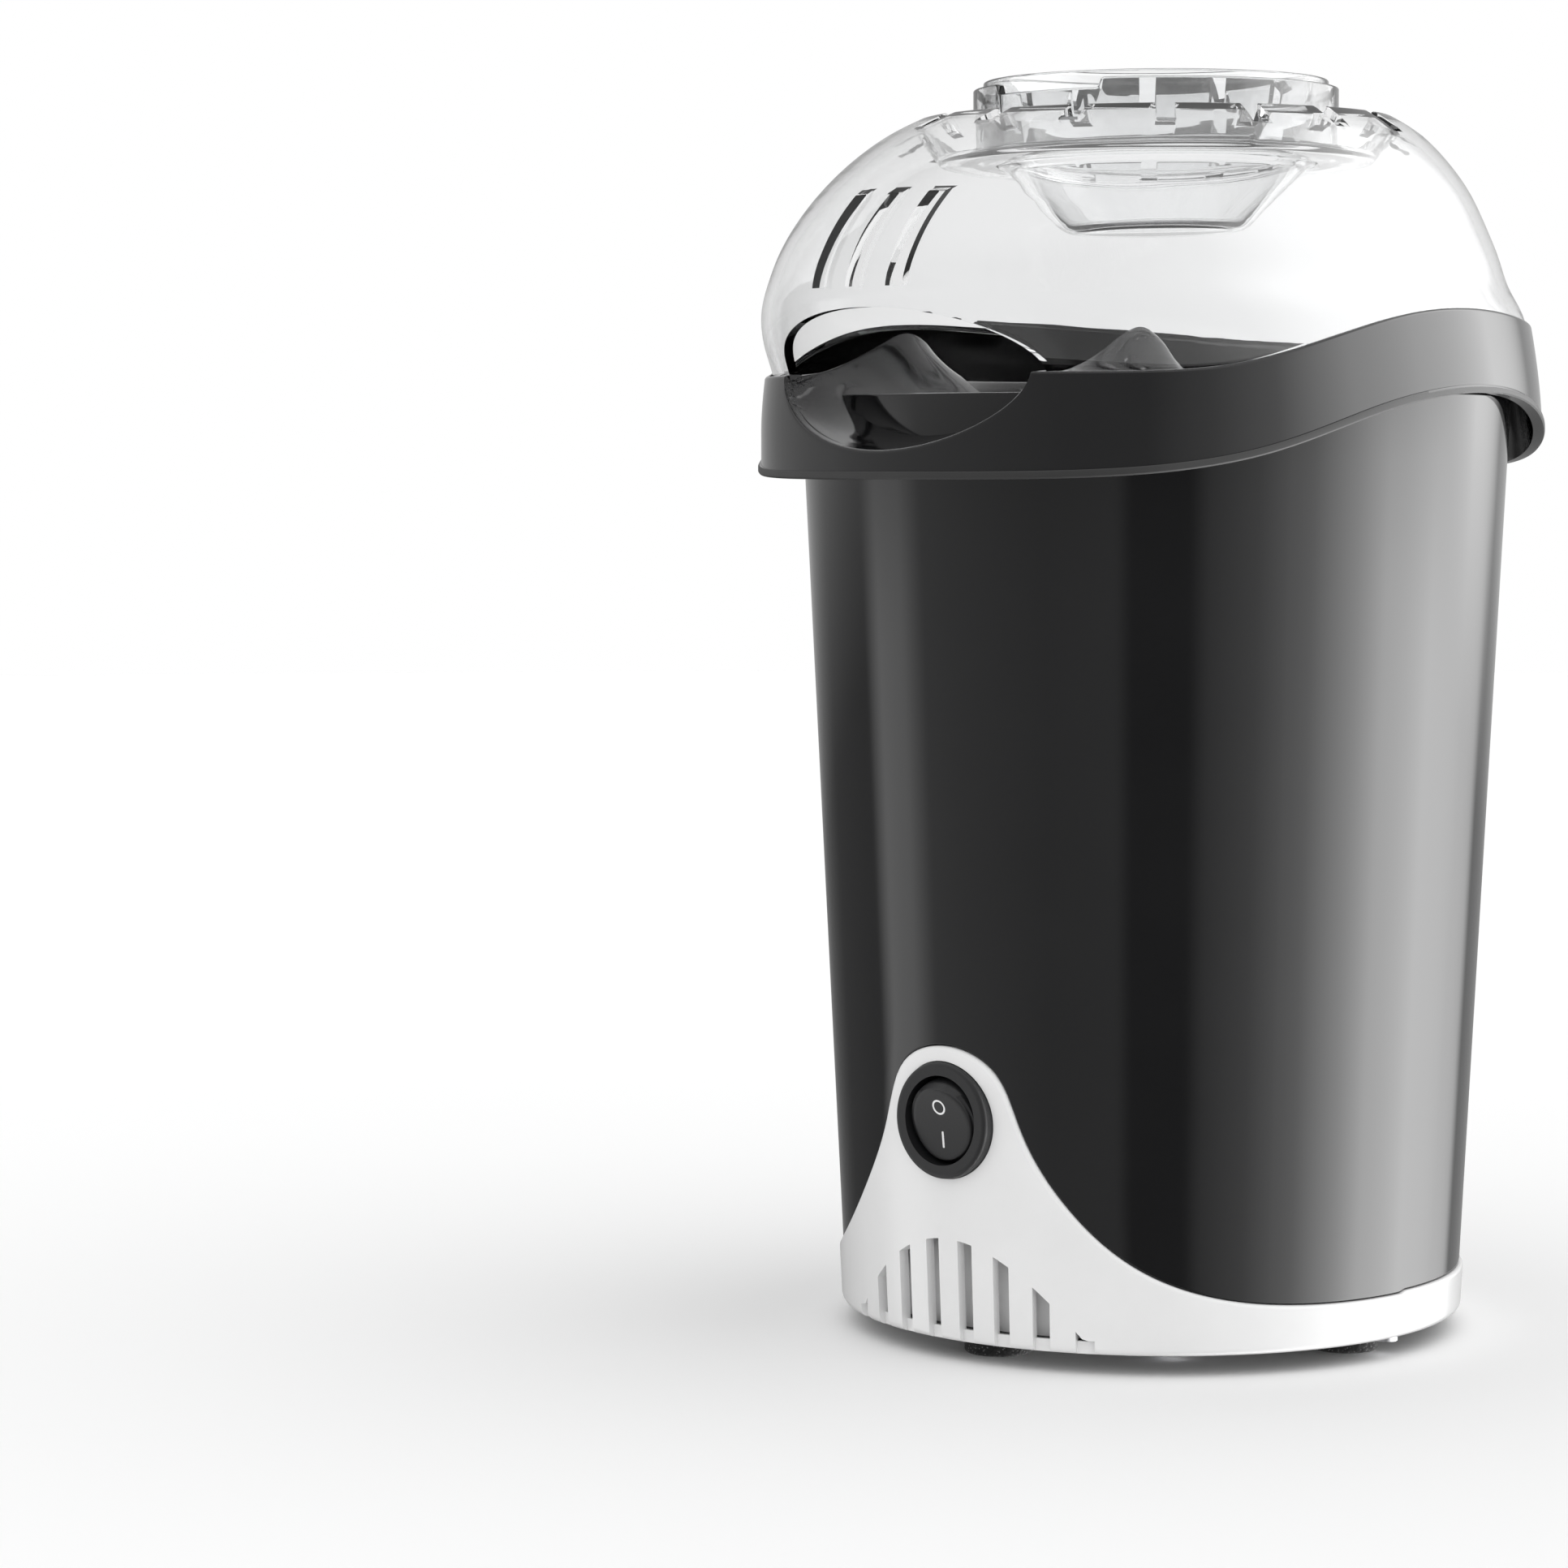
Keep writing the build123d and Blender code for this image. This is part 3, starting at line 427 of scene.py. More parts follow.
base = {
    "proud": 0.9, "wall": 2.4, "backTop": 15.0, "bottomRound": 1.6, "lipRound": 0.95,
    "humpHalf": [(0.0, 70.6), (13.0, 65.4), (18.6, 53.5), (28.5, 37.0), (44.0, 22.6), (60.0, 16.0)],
    "humpEnd": (90.4, 15.0),
    "slots": 8, "slotPitch": 9.2, "slotWidth": 3.8, "slotTop": 27.6, "slotFall": 0.0195, "sill": 7.4,
    "sillDepth": 1.5,
}
humpRight = base["humpHalf"][1:] + [base["humpEnd"]]
humpEdge = EdgeLine([(-x, z) for x, z in reversed(humpRight)] + [base["humpHalf"][0]] + humpRight)


# top edge of the base at this angle from the front, and how steeply it runs there
def baseTopAt(angle):
    if math.cos(angle) <= 0:
        return base["backTop"], 1.0
    x = bodyRadius(40.0) * math.sin(angle)
    height = humpEdge.at(x)
    slope = (humpEdge.at(x + 0.4) - humpEdge.at(x - 0.4)) / 0.8
    return height, math.sqrt(1 + slope * slope)


def onBody(angle, out, z):
    radius = bodyRadius(z) + out
    return (radius * math.sin(angle), -radius * math.cos(angle), z)


def frontWeightedAngles():
    angles = [math.radians(a) * 0.75 for a in range(-80, 80)]
    start, end = angles[-1], fullTurn + angles[0]
    steps = 170
    angles += [start + (end - start) * i / steps for i in range(1, steps)]
    return angles


def makeBody():
    rings = []
    for angle in frontWeightedAngles():
        low, steep = baseTopAt(angle)
        low += body["edgeGap"]
        top = bodyHigh.z
        edge = body["edgeRound"] * min(steep, 2.4)
        ring = [onBody(angle, -body["wall"], low), onBody(angle, -edge / steep, low)]
        ring += [onBody(angle, -0.3 * edge / steep, low + 0.3 * edge), onBody(angle, 0.0, low + edge)]
        first, last = low + edge, top - body["topRound"]
        for row in range(1, body["rows"]):
            ring.append(onBody(angle, 0.0, first + (last - first) * row / body["rows"]))
        for out, drop in ((0.0, 1.0), (-0.3, 0.3), (-1.0, 0.0)):
            ring.append(onBody(angle, out * body["topRound"], top - drop * body["topRound"]))
        ring.append(onBody(angle, -body["wall"], top))
        rings.append(ring)
    piece = ringSkin("black_body", rings)
    evenNormals(piece)
    return finishPiece(piece, "housing", finishes["pianoBlack"], ["body_shell"])


def slotTopAt(x):
    return max(base["slotTop"] - base["slotFall"] * x * x, base["sill"] + 0.35)


# columns around the base as (angle, True inside an air slot)
def baseColumns():
    radius = bodyRadius(15.0) + base["proud"]
    half = base["slotWidth"] / 2
    columns = []
    edges = []
    for index in range(base["slots"]):
        middle = (index - (base["slots"] - 1) / 2) * base["slotPitch"]
        edges.append((middle - half, middle + half))
    for index, (left, right) in enumerate(edges):
        a, b = math.asin(left / radius), math.asin(right / radius)
        columns.append((a, False))
        columns += [(a + (b - a) * step / 3, True) for step in range(4)]
        columns.append((b, False))
        if index < len(edges) - 1:
            c = math.asin(edges[index + 1][0] / radius)
            columns += [(b + (c - b) * step / 4, False) for step in range(1, 4)]
    start, end = columns[-1][0], fullTurn + columns[0][0]
    steps = 250
    columns += [(start + (end - start) * i / steps, False) for i in range(1, steps)]
    return columns


def makeBase():
    rings = []
    columns = baseColumns()
    bottom = baseLow.z
    inner = base["proud"] - base["wall"]
    for angle, inSlot in columns:
        top, steep = baseTopAt(angle)
        x = (bodyRadius(15.0) + base["proud"]) * math.sin(angle)
        slotTop = slotTopAt(x) if abs(x) < 40 and math.cos(angle) > 0 else base["sill"] + 0.35
        face = base["proud"] - (base["sillDepth"] if inSlot else 0.0)
        ring = [onBody(angle, inner, bottom)]
        for step in range(5):
            turn = math.pi / 2 * step / 4
            out = base["proud"] - base["bottomRound"] * (1 - math.sin(turn))
            ring.append(onBody(angle, min(out, face), bottom + base["bottomRound"] * (1 - math.cos(turn))))
        ring.append(onBody(angle, face, base["sill"]))
        ring.append(onBody(angle, base["proud"], slotTop))
        lip = base["lipRound"] * min(steep, 2.3)
        for row in (0.25, 0.5, 0.75):
            ring.append(onBody(angle, base["proud"], slotTop + (top - lip - slotTop) * row))
        for step in range(5):
            turn = math.pi / 2 * step / 4
            out = base["proud"] - base["lipRound"] * (1 - math.cos(turn))
            ring.append(onBody(angle, out, top - lip * (1 - math.sin(turn))))
        ring.append(onBody(angle, inner, top))
        ring.append(onBody(angle, inner, slotTop))
        ring.append(onBody(angle, inner, base["sill"]))
        rings.append(ring)

    rows = len(rings[0])
    points = [p for ring in rings for p in ring]
    outerLow, outerHigh, innerHigh, innerLow = 6, 7, rows - 2, rows - 1
    faces = []
    for i in range(len(rings)):
        j = (i + 1) % len(rings)
        inSlotHere = columns[i][1] and columns[j][1]
        for k in range(rows):
            if inSlotHere and k in (outerLow, innerHigh):
                continue
            m = (k + 1) % rows
            faces.append((i * rows + k, j * rows + k, j * rows + m, i * rows + m))
        if inSlotHere:
            for front, back in ((outerLow, innerLow), (outerHigh, innerHigh)):
                faces.append((i * rows + front, j * rows + front, j * rows + back, i * rows + back))
        for c, other in ((i, i - 1), (i, j)):
            if columns[c][1] and not columns[other][1]:
                faces.append(tuple(c * rows + k for k in (outerLow, outerHigh, innerHigh, innerLow)))
    piece = meshObject("white_base", points, faces)
    switchLow, switchHigh = boxOf("switch_body")
    centre = (switchLow.z + switchHigh.z) / 2
    hole = (switchHigh.x - switchLow.x) / 2 + 0.15
    turns = [fullTurn * i / 96 for i in range(96)]
    outline = [(hole * math.cos(t), centre + hole * math.sin(t)) for t in turns]
    cutAway(piece, [cutterPrism(outline, "y", -110.0, -40.0)])
    evenNormals(piece)
    return finishPiece(piece, "housing", finishes["whiteShell"], ["base_shell"])


collar = {
    "wall": 2.0, "leanFrom": 206.0, "leanTo": 234.0, "lean": 3.6, "leanPower": 1.6,
    "beadProud": 0.7, "beadHeight": 1.9, "lipRound": 0.7, "lip": 1.0, "seatDepth": 2.0,
    "topEdge": [
        (-110, 217.8), (-78, 217.8), (-60, 218.9), (-38, 224.6), (-14, 230.4), (9, 232.2), (36, 231.2),
        (70, 229.0), (110, 227.5),
    ],
    "lowEdge": [
        (-110, 195.0), (-74, 196.0), (-53, 200.0), (-26, 208.8), (9, 213.6), (38, 211.0), (62, 204.4),
        (84, 198.4), (110, 195.6),
    ],
    "deckInner": 213.6, "deckOuter": 217.4, "deckOuterRadius": 100.0, "throat": 47.0, "throatWall": 2.4,
    "throatLow": 204.8,
    "chuteBack": (-40.0, 221.5, 33.0, 9.0), "chuteFront": (-106.0, 218.2, 36.0, 19.0), "rows": 10,
}
collarReach = collarHigh.y - collar["beadProud"]
collarSide = 83.6
topEdge = EdgeLine(collar["topEdge"])
lowEdge = EdgeLine(collar["lowEdge"])


def collarLean(z):
    rise = max(0.0, z - collar["leanFrom"]) / (collar["leanTo"] - collar["leanFrom"])
    return collar["lean"] * rise ** collar["leanPower"]


def onCollar(angle, out, z):
    off = out - collarLean(z)
    return ((collarSide + off) * math.sin(angle), -(collarReach + off) * math.cos(angle), z)


# middle height, half width and depth of the chute at this place along its length
def chuteAt(y):
    back, front = collar["chuteBack"], collar["chuteFront"]
    t = (y - back[0]) / (front[0] - back[0])
    return [a + (b - a) * t for a, b in zip(back[1:], front[1:])]


def chuteHeight(x, y):
    middle, half, depth = chuteAt(y)
    if y > 0 or abs(x) >= half:
        return 1e3
    return middle - depth * math.sqrt(1 - (x / half) ** 2)


def collarTopAt(angle, out):
    x, y, _ = onCollar(angle, out, 217.0)
    return min(topEdge.at(y), chuteHeight(x, y))


def collarAngles():
    half = chuteAt(-collarReach)[1]
    angles = [math.asin(half * math.sin(math.radians(a)) / collarSide) for a in range(-90, 91, 3)]
    start, end = angles[-1], fullTurn + angles[0]
    steps = 260
    angles += [start + (end - start) * i / steps for i in range(1, steps)]
    return angles


def makeCollarSkirt():
    rings = []
    for angle in collarAngles():
        _, y, _ = onCollar(angle, 0, 205.0)
        low = lowEdge.at(y)
        rim = topEdge.at(y)
        bead = collar["beadProud"]
        ring = [onCollar(angle, -collar["wall"], low)]
        beadTop = low + collar["beadHeight"]
        beadLine = (
            (-0.2, low), (bead - 0.25, low + 0.06), (bead, low + 0.4),
            (bead, beadTop - 0.5), (bead - 0.25, beadTop - 0.08), (0.0, beadTop),
        )
        ring += [onCollar(angle, out, z) for out, z in beadLine]
        top = collarTopAt(angle, 0.0)
        cut = collar["lipRound"]
        for row in range(1, collar["rows"] + 1):
            ring.append(onCollar(angle, 0.0, beadTop + (top - cut - beadTop) * row / collar["rows"]))
        for out, drop in ((-0.08, 0.55), (-0.3, 0.2), (-0.7, 0.0)):
            ring.append(onCollar(angle, out * cut / 0.7, collarTopAt(angle, out) - drop * cut))
        seat = collar["seatDepth"] if collarTopAt(angle, -collar["wall"]) > rim - 0.01 else 0.0
        ring.append(onCollar(angle, -collar["lip"], collarTopAt(angle, -collar["lip"])))
        ring.append(onCollar(angle, -collar["lip"] - 0.02, collarTopAt(angle, -collar["lip"]) - seat))
        ring.append(onCollar(angle, -collar["wall"], collarTopAt(angle, -collar["wall"]) - seat))
        rings.append(ring)
    piece = ringSkin("collar_skirt", rings)
    evenNormals(piece)
    finishPiece(piece, "housing", finishes["pianoBlack"], ["collar"])
    # the bead's outward faces get the bead finish: matte black, with painted light in its lighter colour
    piece.data.materials.append(finishes["beadMatteAndPaintedLight"])
    for polygon in piece.data.polygons:
        x, y, z = polygon.center / mm
        if z < lowEdge.at(y) + collar["beadHeight"] - 0.05 and abs(polygon.normal.z) < 0.99:
            out = math.hypot(x / collarSide, y / collarReach) - 1
            polygon.material_index = 1 if out > 0.0015 else 0
    return piece


def deckHeight(x, y):
    share = (math.hypot(x, y) - collar["throat"]) / (collar["deckOuterRadius"] - collar["throat"])
    return collar["deckInner"] + (collar["deckOuter"] - collar["deckInner"]) * share


# the one surface inside the collar: deck, raised rim of the throat, chute and its side walls
bowl = {
    "thick": 2.2, "flank": 12.0, "flankSteps": 14, "bends": 60, "rows": 52, "backColumns": 150,
    "ridge": [
        (-112, 217.6), (-90, 217.6), (-83.4, 217.9), (-73.8, 219.0), (-66.0, 221.4), (-58.2, 224.5),
        (-52.9, 226.8), (-48.2, 228.0), (-43.0, 226.6), (-38.0, 223.0), (-30.0, 218.0),
    ],
    "ridgeFall": 5.5, "rimRise": 3.8, "rimRadius": 49.4, "rimWidth": 2.6,
}
chuteRidge = EdgeLine(bowl["ridge"])


def easeBetween(value, start, end):
    t = min(max((value - start) / (end - start), 0.0), 1.0)
    return t * t * (3 - 2 * t)


def bowlHeight(x, y):
    away = (math.hypot(x, y) - bowl["rimRadius"]) / bowl["rimWidth"]
    level = deckHeight(x, y) + bowl["rimRise"] * math.exp(-away * away)
    if y > -12:
        return level
    middle, half, depth = chuteAt(y)
    ridge = level + max(chuteRidge.at(y) - level, 0.0) * (1 - easeBetween(y, -42.0, -24.0))
    off = abs(x) / half
    if off >= 1:
        beyond = (abs(x) - half) / bowl["ridgeFall"]
        return level + (ridge - level) * math.exp(-beyond * beyond)
    power = 0.5 + 0.35 * easeBetween(y, -90.0, -72.0)
    section = ridge - (ridge - middle + depth) * (1 - off * off) ** power
    cut = min(chuteHeight(x, y), collar["deckOuter"])
    return cut + (section - cut) * easeBetween(y, -94.0, -84.0)


# where a column of the bowl starts at the collar and ends at the throat
def bowlColumn(share, beyond, side, wide, deep):
    y = -deep
    for _ in range(8):
        x = chuteAt(y)[1] * share + beyond
        y = -deep * math.sqrt(1 - (x / wide) ** 2)
    innerY = -collar["throat"]
    for _ in range(8):
        innerX = chuteAt(innerY)[1] * share + beyond
        innerY = -math.sqrt(collar["throat"] ** 2 - innerX * innerX)
    return (side * x, y), (side * innerX, innerY)


def makeCollarDeck():
    inside = collar["wall"] - 0.15 + collarLean(215.0)
    wide, deep = collarSide - inside, collarReach - inside
    columns = []
    for step in range(bowl["flankSteps"], 0, -1):
        columns.append(bowlColumn(1.0, bowl["flank"] * step / bowl["flankSteps"], -1, wide, deep))
    for step in range(bowl["bends"] + 1):
        share = math.sin(math.pi * (step / bowl["bends"] - 0.5))
        columns.append(bowlColumn(abs(share), 0.0, 1 if share > 0 else -1, wide, deep))
    for step in range(1, bowl["flankSteps"] + 1):
        columns.append(bowlColumn(1.0, bowl["flank"] * step / bowl["flankSteps"], 1, wide, deep))
    outer, inner = columns[-1]
    outerStart = math.atan2(outer[0] / wide, -outer[1] / deep)
    innerStart = math.atan2(inner[0], -inner[1])
    front = len(columns)
    for step in range(1, bowl["backColumns"]):
        t = step / bowl["backColumns"]
        outerTurn = outerStart + (fullTurn - 2 * outerStart) * t
        innerTurn = innerStart + (fullTurn - 2 * innerStart) * t
        innerPoint = (collar["throat"] * math.sin(innerTurn), -collar["throat"] * math.cos(innerTurn))
        columns.append(((wide * math.sin(outerTurn), -deep * math.cos(outerTurn)), innerPoint))

    rows = bowl["rows"]
    grid = []
    for outer, inner in columns:
        line = []
        for k in range(rows + 1):
            t = k / rows
            x, y = outer[0] + (inner[0] - outer[0]) * t, outer[1] + (inner[1] - outer[1]) * t
            line.append([x, y, bowlHeight(x, y)])
        grid.append(line)
    for _ in range(4):  # rounds the ridges beside the chute
        before = [[point[2] for point in line] for line in grid]
        for i in range(1, front - 1):
            for k in range(4, rows + 1):
                grid[i][k][2] = (before[i - 1][k] + 2 * before[i][k] + before[i + 1][k]) / 4
    rings = []
    for line in grid:
        top = [tuple(point) for point in line]
        rings.append(top + [(x, y, z - bowl["thick"]) for x, y, z in reversed(top)])
    deck = ringSkin("collar_deck", rings, smoothAngle=60.0)
    finishPiece(deck, "housing", finishes["pianoBlack"])

    rings = []
    for i in range(180):
        angle = fullTurn * i / 180
        ring = []
        inner, outer = collar["throat"] + 0.05, collar["throat"] + collar["throatWall"]
        for radius, low in ((inner, True), (outer, True), (outer, False), (inner, False)):
            x, y = radius * math.sin(angle), -radius * math.cos(angle)
            ring.append((x, y, collar["throatLow"] if low else bowlHeight(x, y) - 1.2))
        rings.append(ring)
    throat = ringSkin("collar_throat", rings)
    finishPiece(throat, "housing", finishes["pianoBlack"])


dome = {
    "wall": 2.2, "seatGap": 0.3, "edgeInset": 1.25,
    "visor": [(214.0, 92.0), (219.0, 94.8), (225.0, 99.2), (231.0, 101.4)],
    "shoulder": [
        (238.0, 101.4, 88.6, 76.3), (244.0, 98.6, 85.2, 74.8), (251.0, 93.4, 81.2, 72.6),
        (259.0, 84.6, 75.6, 69.6), (267.0, 73.2, 67.6, 64.8), (273.2, 61.6, 59.8, 58.8),
    ],
    "crown": (276.6, 53.4), "crownRound": 1.6,
    "recess": 48.4, "recessFloor": 268.4, "recessWall": 2.0,
    "ring": 41.6, "ringWall": 2.0, "ringDip": 2.3, "dipHalfAngle": 20.5, "seatLip": 36.6,
    "mouthHalf": 36.5, "mouthLow": 217.8, "mouthHigh": 231.6,
    "crestSlots": 18, "crestSlotWidth": 4.3, "crestSlotLow": 271.6,
    "vents": 3, "ventPitch": 11.2, "ventWidth": 4.2, "ventLow": 236.0, "ventHigh": 256.5, "ventShift": -2.5,
}


def domeLevels():
    levels = []
    for z, reach in dome["visor"]:
        off = collarLean(z) + dome["edgeInset"]
        levels.append((z, reach, collarReach - off, collarSide - off))
    levels += dome["shoulder"]
    levels.append((dome["crown"][0], dome["crown"][1], dome["crown"][1], dome["crown"][1]))
    return splineThrough(levels, 6)


# one column of the dome: the height of its lower edge, and its lines outside and inside
def domeColumn(angle, levels):
    sway, ahead = math.sin(angle), -math.cos(angle)
    outerLine = []
    for z, front, back, side in levels:
        reach = front if ahead < 0 else back
        outerLine.append((side * sway, reach * ahead, z))
    floorZ = topEdge.at(outerLine[2][1]) + dome["seatGap"] - collar["seatDepth"]
    flat = [(math.hypot(x, y), z) for x, y, z in outerLine]
    plan = [(x / r, y / r) for (x, y, _), (r, _) in zip(outerLine, flat)]
    first = [k for k, (_, z) in enumerate(flat) if z > floorZ + 0.8][0]
    inner = []
    for k in range(first, len(flat)):
        r, z = flat[k]
        (ra, za), (rb, zb) = flat[k - 1], flat[min(k + 1, len(flat) - 1)]
        span = math.hypot(rb - ra, zb - za)
        inner.append((r - dome["wall"] * (zb - za) / span, z + dome["wall"] * (rb - ra) / span))
    (ra, za), (rb, zb) = flat[first - 1], flat[first]
    edgeR = ra + (rb - ra) * (floorZ - za) / (zb - za)
    return floorZ, edgeR, flat, plan, flat[first:], inner


def makeDome():
    levels = domeLevels()
    profileRings = []
    steps = 360
    rowCount = 60
    crownZ, crownR = dome["crown"]
    dip = math.radians(dome["dipHalfAngle"])
    for i in range(steps):
        angle = fullTurn * i / steps
        floorZ, edgeR, flat, plan, outer, inner = domeColumn(angle, levels)
        outerPath = [(edgeR, floorZ + 0.25)] + [(r, z) for r, z in outer if z < crownZ - 0.3]
        innerPath = [(edgeR - dome["wall"], floorZ + 0.25)]
        innerPath += [(r, z) for r, z in inner if z < crownZ - 3.0 and r > dome["recess"] + 3.4]
        outside = resample(outerPath, rowCount)
        inside = resample(innerPath, rowCount)
        turned = angle if angle < math.pi else angle - fullTurn
        dipShare = 0.5 + 0.5 * math.tanh((dip - abs(turned)) / math.radians(0.5))
        ringTopHere = domeHigh.z - dome["ringDip"] * dipShare
        wall = dome["ringWall"]
        under = dome["recessFloor"] - dome["recessWall"]
        crest = roundedProfile([
            (outside[-1][0], outside[-1][1], 0.0),
            (crownR, crownZ, dome["crownRound"]),
            (dome["recess"], dome["recessFloor"], 0.9),
            (dome["ring"], dome["recessFloor"], 0.6),
            (dome["ring"], ringTopHere, 0.4),
            (dome["ring"] - wall, ringTopHere, 0.4),
            (dome["ring"] - wall, dome["recessFloor"], 0.3),
            (dome["seatLip"], dome["recessFloor"], 0.4),
            (dome["seatLip"], under, 0.4),
            (dome["recess"] + 1.0, under, 0.9),
            (inside[-1][0], inside[-1][1], 0.0),
        ])
        profile = [(r, z) for r, z in outside[:-1]] + crest + [(r, z) for r, z in reversed(inside[:-1])]
        profile = profile + [(edgeR - dome["wall"] + 0.25, floorZ), (edgeR - 0.25, floorZ)]
        ring = []
        for r, z in profile:
            ux, uy = directionAt(flat, plan, z, angle)
            ring.append((r * ux, r * uy, z))
        profileRings.append(ring)
    piece = ringSkin("clear_dome", profileRings, smoothAngle=40.0)

    cuts = []
    mouth = []
    mouthRise = dome["mouthHigh"] - dome["mouthLow"]
    for i in range(97):
        turn = math.pi * i / 96
        mouth.append((dome["mouthHalf"] * math.cos(turn), dome["mouthLow"] + mouthRise * math.sin(turn)))
    mouth += [(-dome["mouthHalf"], dome["mouthLow"] - 12), (dome["mouthHalf"], dome["mouthLow"] - 12)]
    cuts.append(cutterPrism(mouth, "y", -130.0, -50.0))
    for index in range(dome["vents"]):
        x = (index - (dome["vents"] - 1) / 2) * dome["ventPitch"] + dome["ventShift"]
        w, bottom, top = dome["ventWidth"] / 2, dome["ventLow"], dome["ventHigh"]
        outline = [(x - w, bottom), (x + w, bottom), (x + w, top), (x - w, top)]
        cuts.append(cutterPrism(outline, "y", -130.0, -62.0))
    for index in range(dome["crestSlots"]):
        turn = fullTurn * (index + 0.5) / dome["crestSlots"]
        near, far, w = dome["recess"] - 1.0, dome["recess"] + 13.0, dome["crestSlotWidth"] / 2
        c, s = math.cos(turn), math.sin(turn)
        outline = [(r * c - t * s, r * s + t * c) for r, t in ((near, -w), (far, -w), (far, w), (near, w))]
        cuts.append(cutterPrism(outline, "z", dome["crestSlotLow"], 281.0))
    cutAway(piece, cuts, 40.0)
    return finishPiece(piece, "dome", finishes["clearShell"], ["dome"])


# even steps along a path of (radius, height)
def resample(path, count):
    lengths = [0.0]
    for a, b in zip(path, path[1:]):
        lengths.append(lengths[-1] + math.dist(a, b))
    found = []
    for i in range(count):
        want = lengths[-1] * i / (count - 1)
        k = min(max(bisect.bisect_left(lengths, want), 1), len(path) - 1)
        t = (want - lengths[k - 1]) / max(lengths[k] - lengths[k - 1], 1e-9)
        found.append(tuple(a + (b - a) * t for a, b in zip(path[k - 1], path[k])))
    return found


# plan direction of this column of the dome at a height: the ovals turn round towards the crown
def directionAt(flat, plan, z, angle):
    if z >= flat[-1][1]:
        return math.sin(angle), -math.cos(angle)
    k = 1
    while k < len(flat) - 1 and flat[k][1] < z:
        k += 1
    t = min(max((z - flat[k - 1][1]) / (flat[k][1] - flat[k - 1][1]), 0.0), 1.0)
    x = plan[k - 1][0] + (plan[k][0] - plan[k - 1][0]) * t
    y = plan[k - 1][1] + (plan[k][1] - plan[k - 1][1]) * t
    size = math.hypot(x, y)
    return x / size, y / size


cup = {"wall": 1.8, "gap": 0.3, "coneTop": 34.0, "floor": 20.5, "corner": 3.0}


def makeCup():
    outer = dome["ring"] - dome["ringWall"] - cup["gap"]
    seat = dome["recessFloor"] + cup["gap"]
    neck = dome["seatLip"] - cup["gap"]
    floorTop = cupLow.z + cup["wall"]
    under = dome["recessFloor"] - dome["recessWall"]
    wall = cup["wall"]
    profile = roundedProfile([
        (0.0, cupLow.z, 0.0),
        (cup["floor"] - 8.0, cupLow.z, 0.0),
        (cup["floor"], cupLow.z, cup["corner"]),
        (cup["coneTop"], under - 1.0, 1.0),
        (neck, under, 0.8),
        (neck, seat, 0.5),
        (outer, seat, 0.5),
        (outer, cupHigh.z, 0.5),
        (outer - wall, cupHigh.z, 0.5),
        (outer - wall, seat + wall, 0.8),
        (neck - wall, seat + wall, 0.8),
        (cup["coneTop"] - wall, under, 1.0),
        (cup["floor"] - wall * 0.6, floorTop, 2.0),
        (0.0, floorTop, 0.0),
    ])
    piece = turnedPiece("clear_cup", profile, steps=180, closedProfile=False, smoothAngle=40.0)
    return finishPiece(piece, "cup", finishes["clearShell"], ["measuring_cup"])


switch = {
    "bore": 9.95, "edgeRound": 1.5, "funnel": 0.7, "depth": 11.0, "ball": 9.6, "face": 4.6,
    "hollow": 0.9, "back": 4.0,
    "tilt": 12.0, "pivotDepth": 4.4, "legend": 0.06,
    "ringRadius": 1.55, "ringLine": 0.42, "ringHeight": 3.9, "barLength": 3.7, "barLine": 0.5,
    "barHeight": -3.6,
}


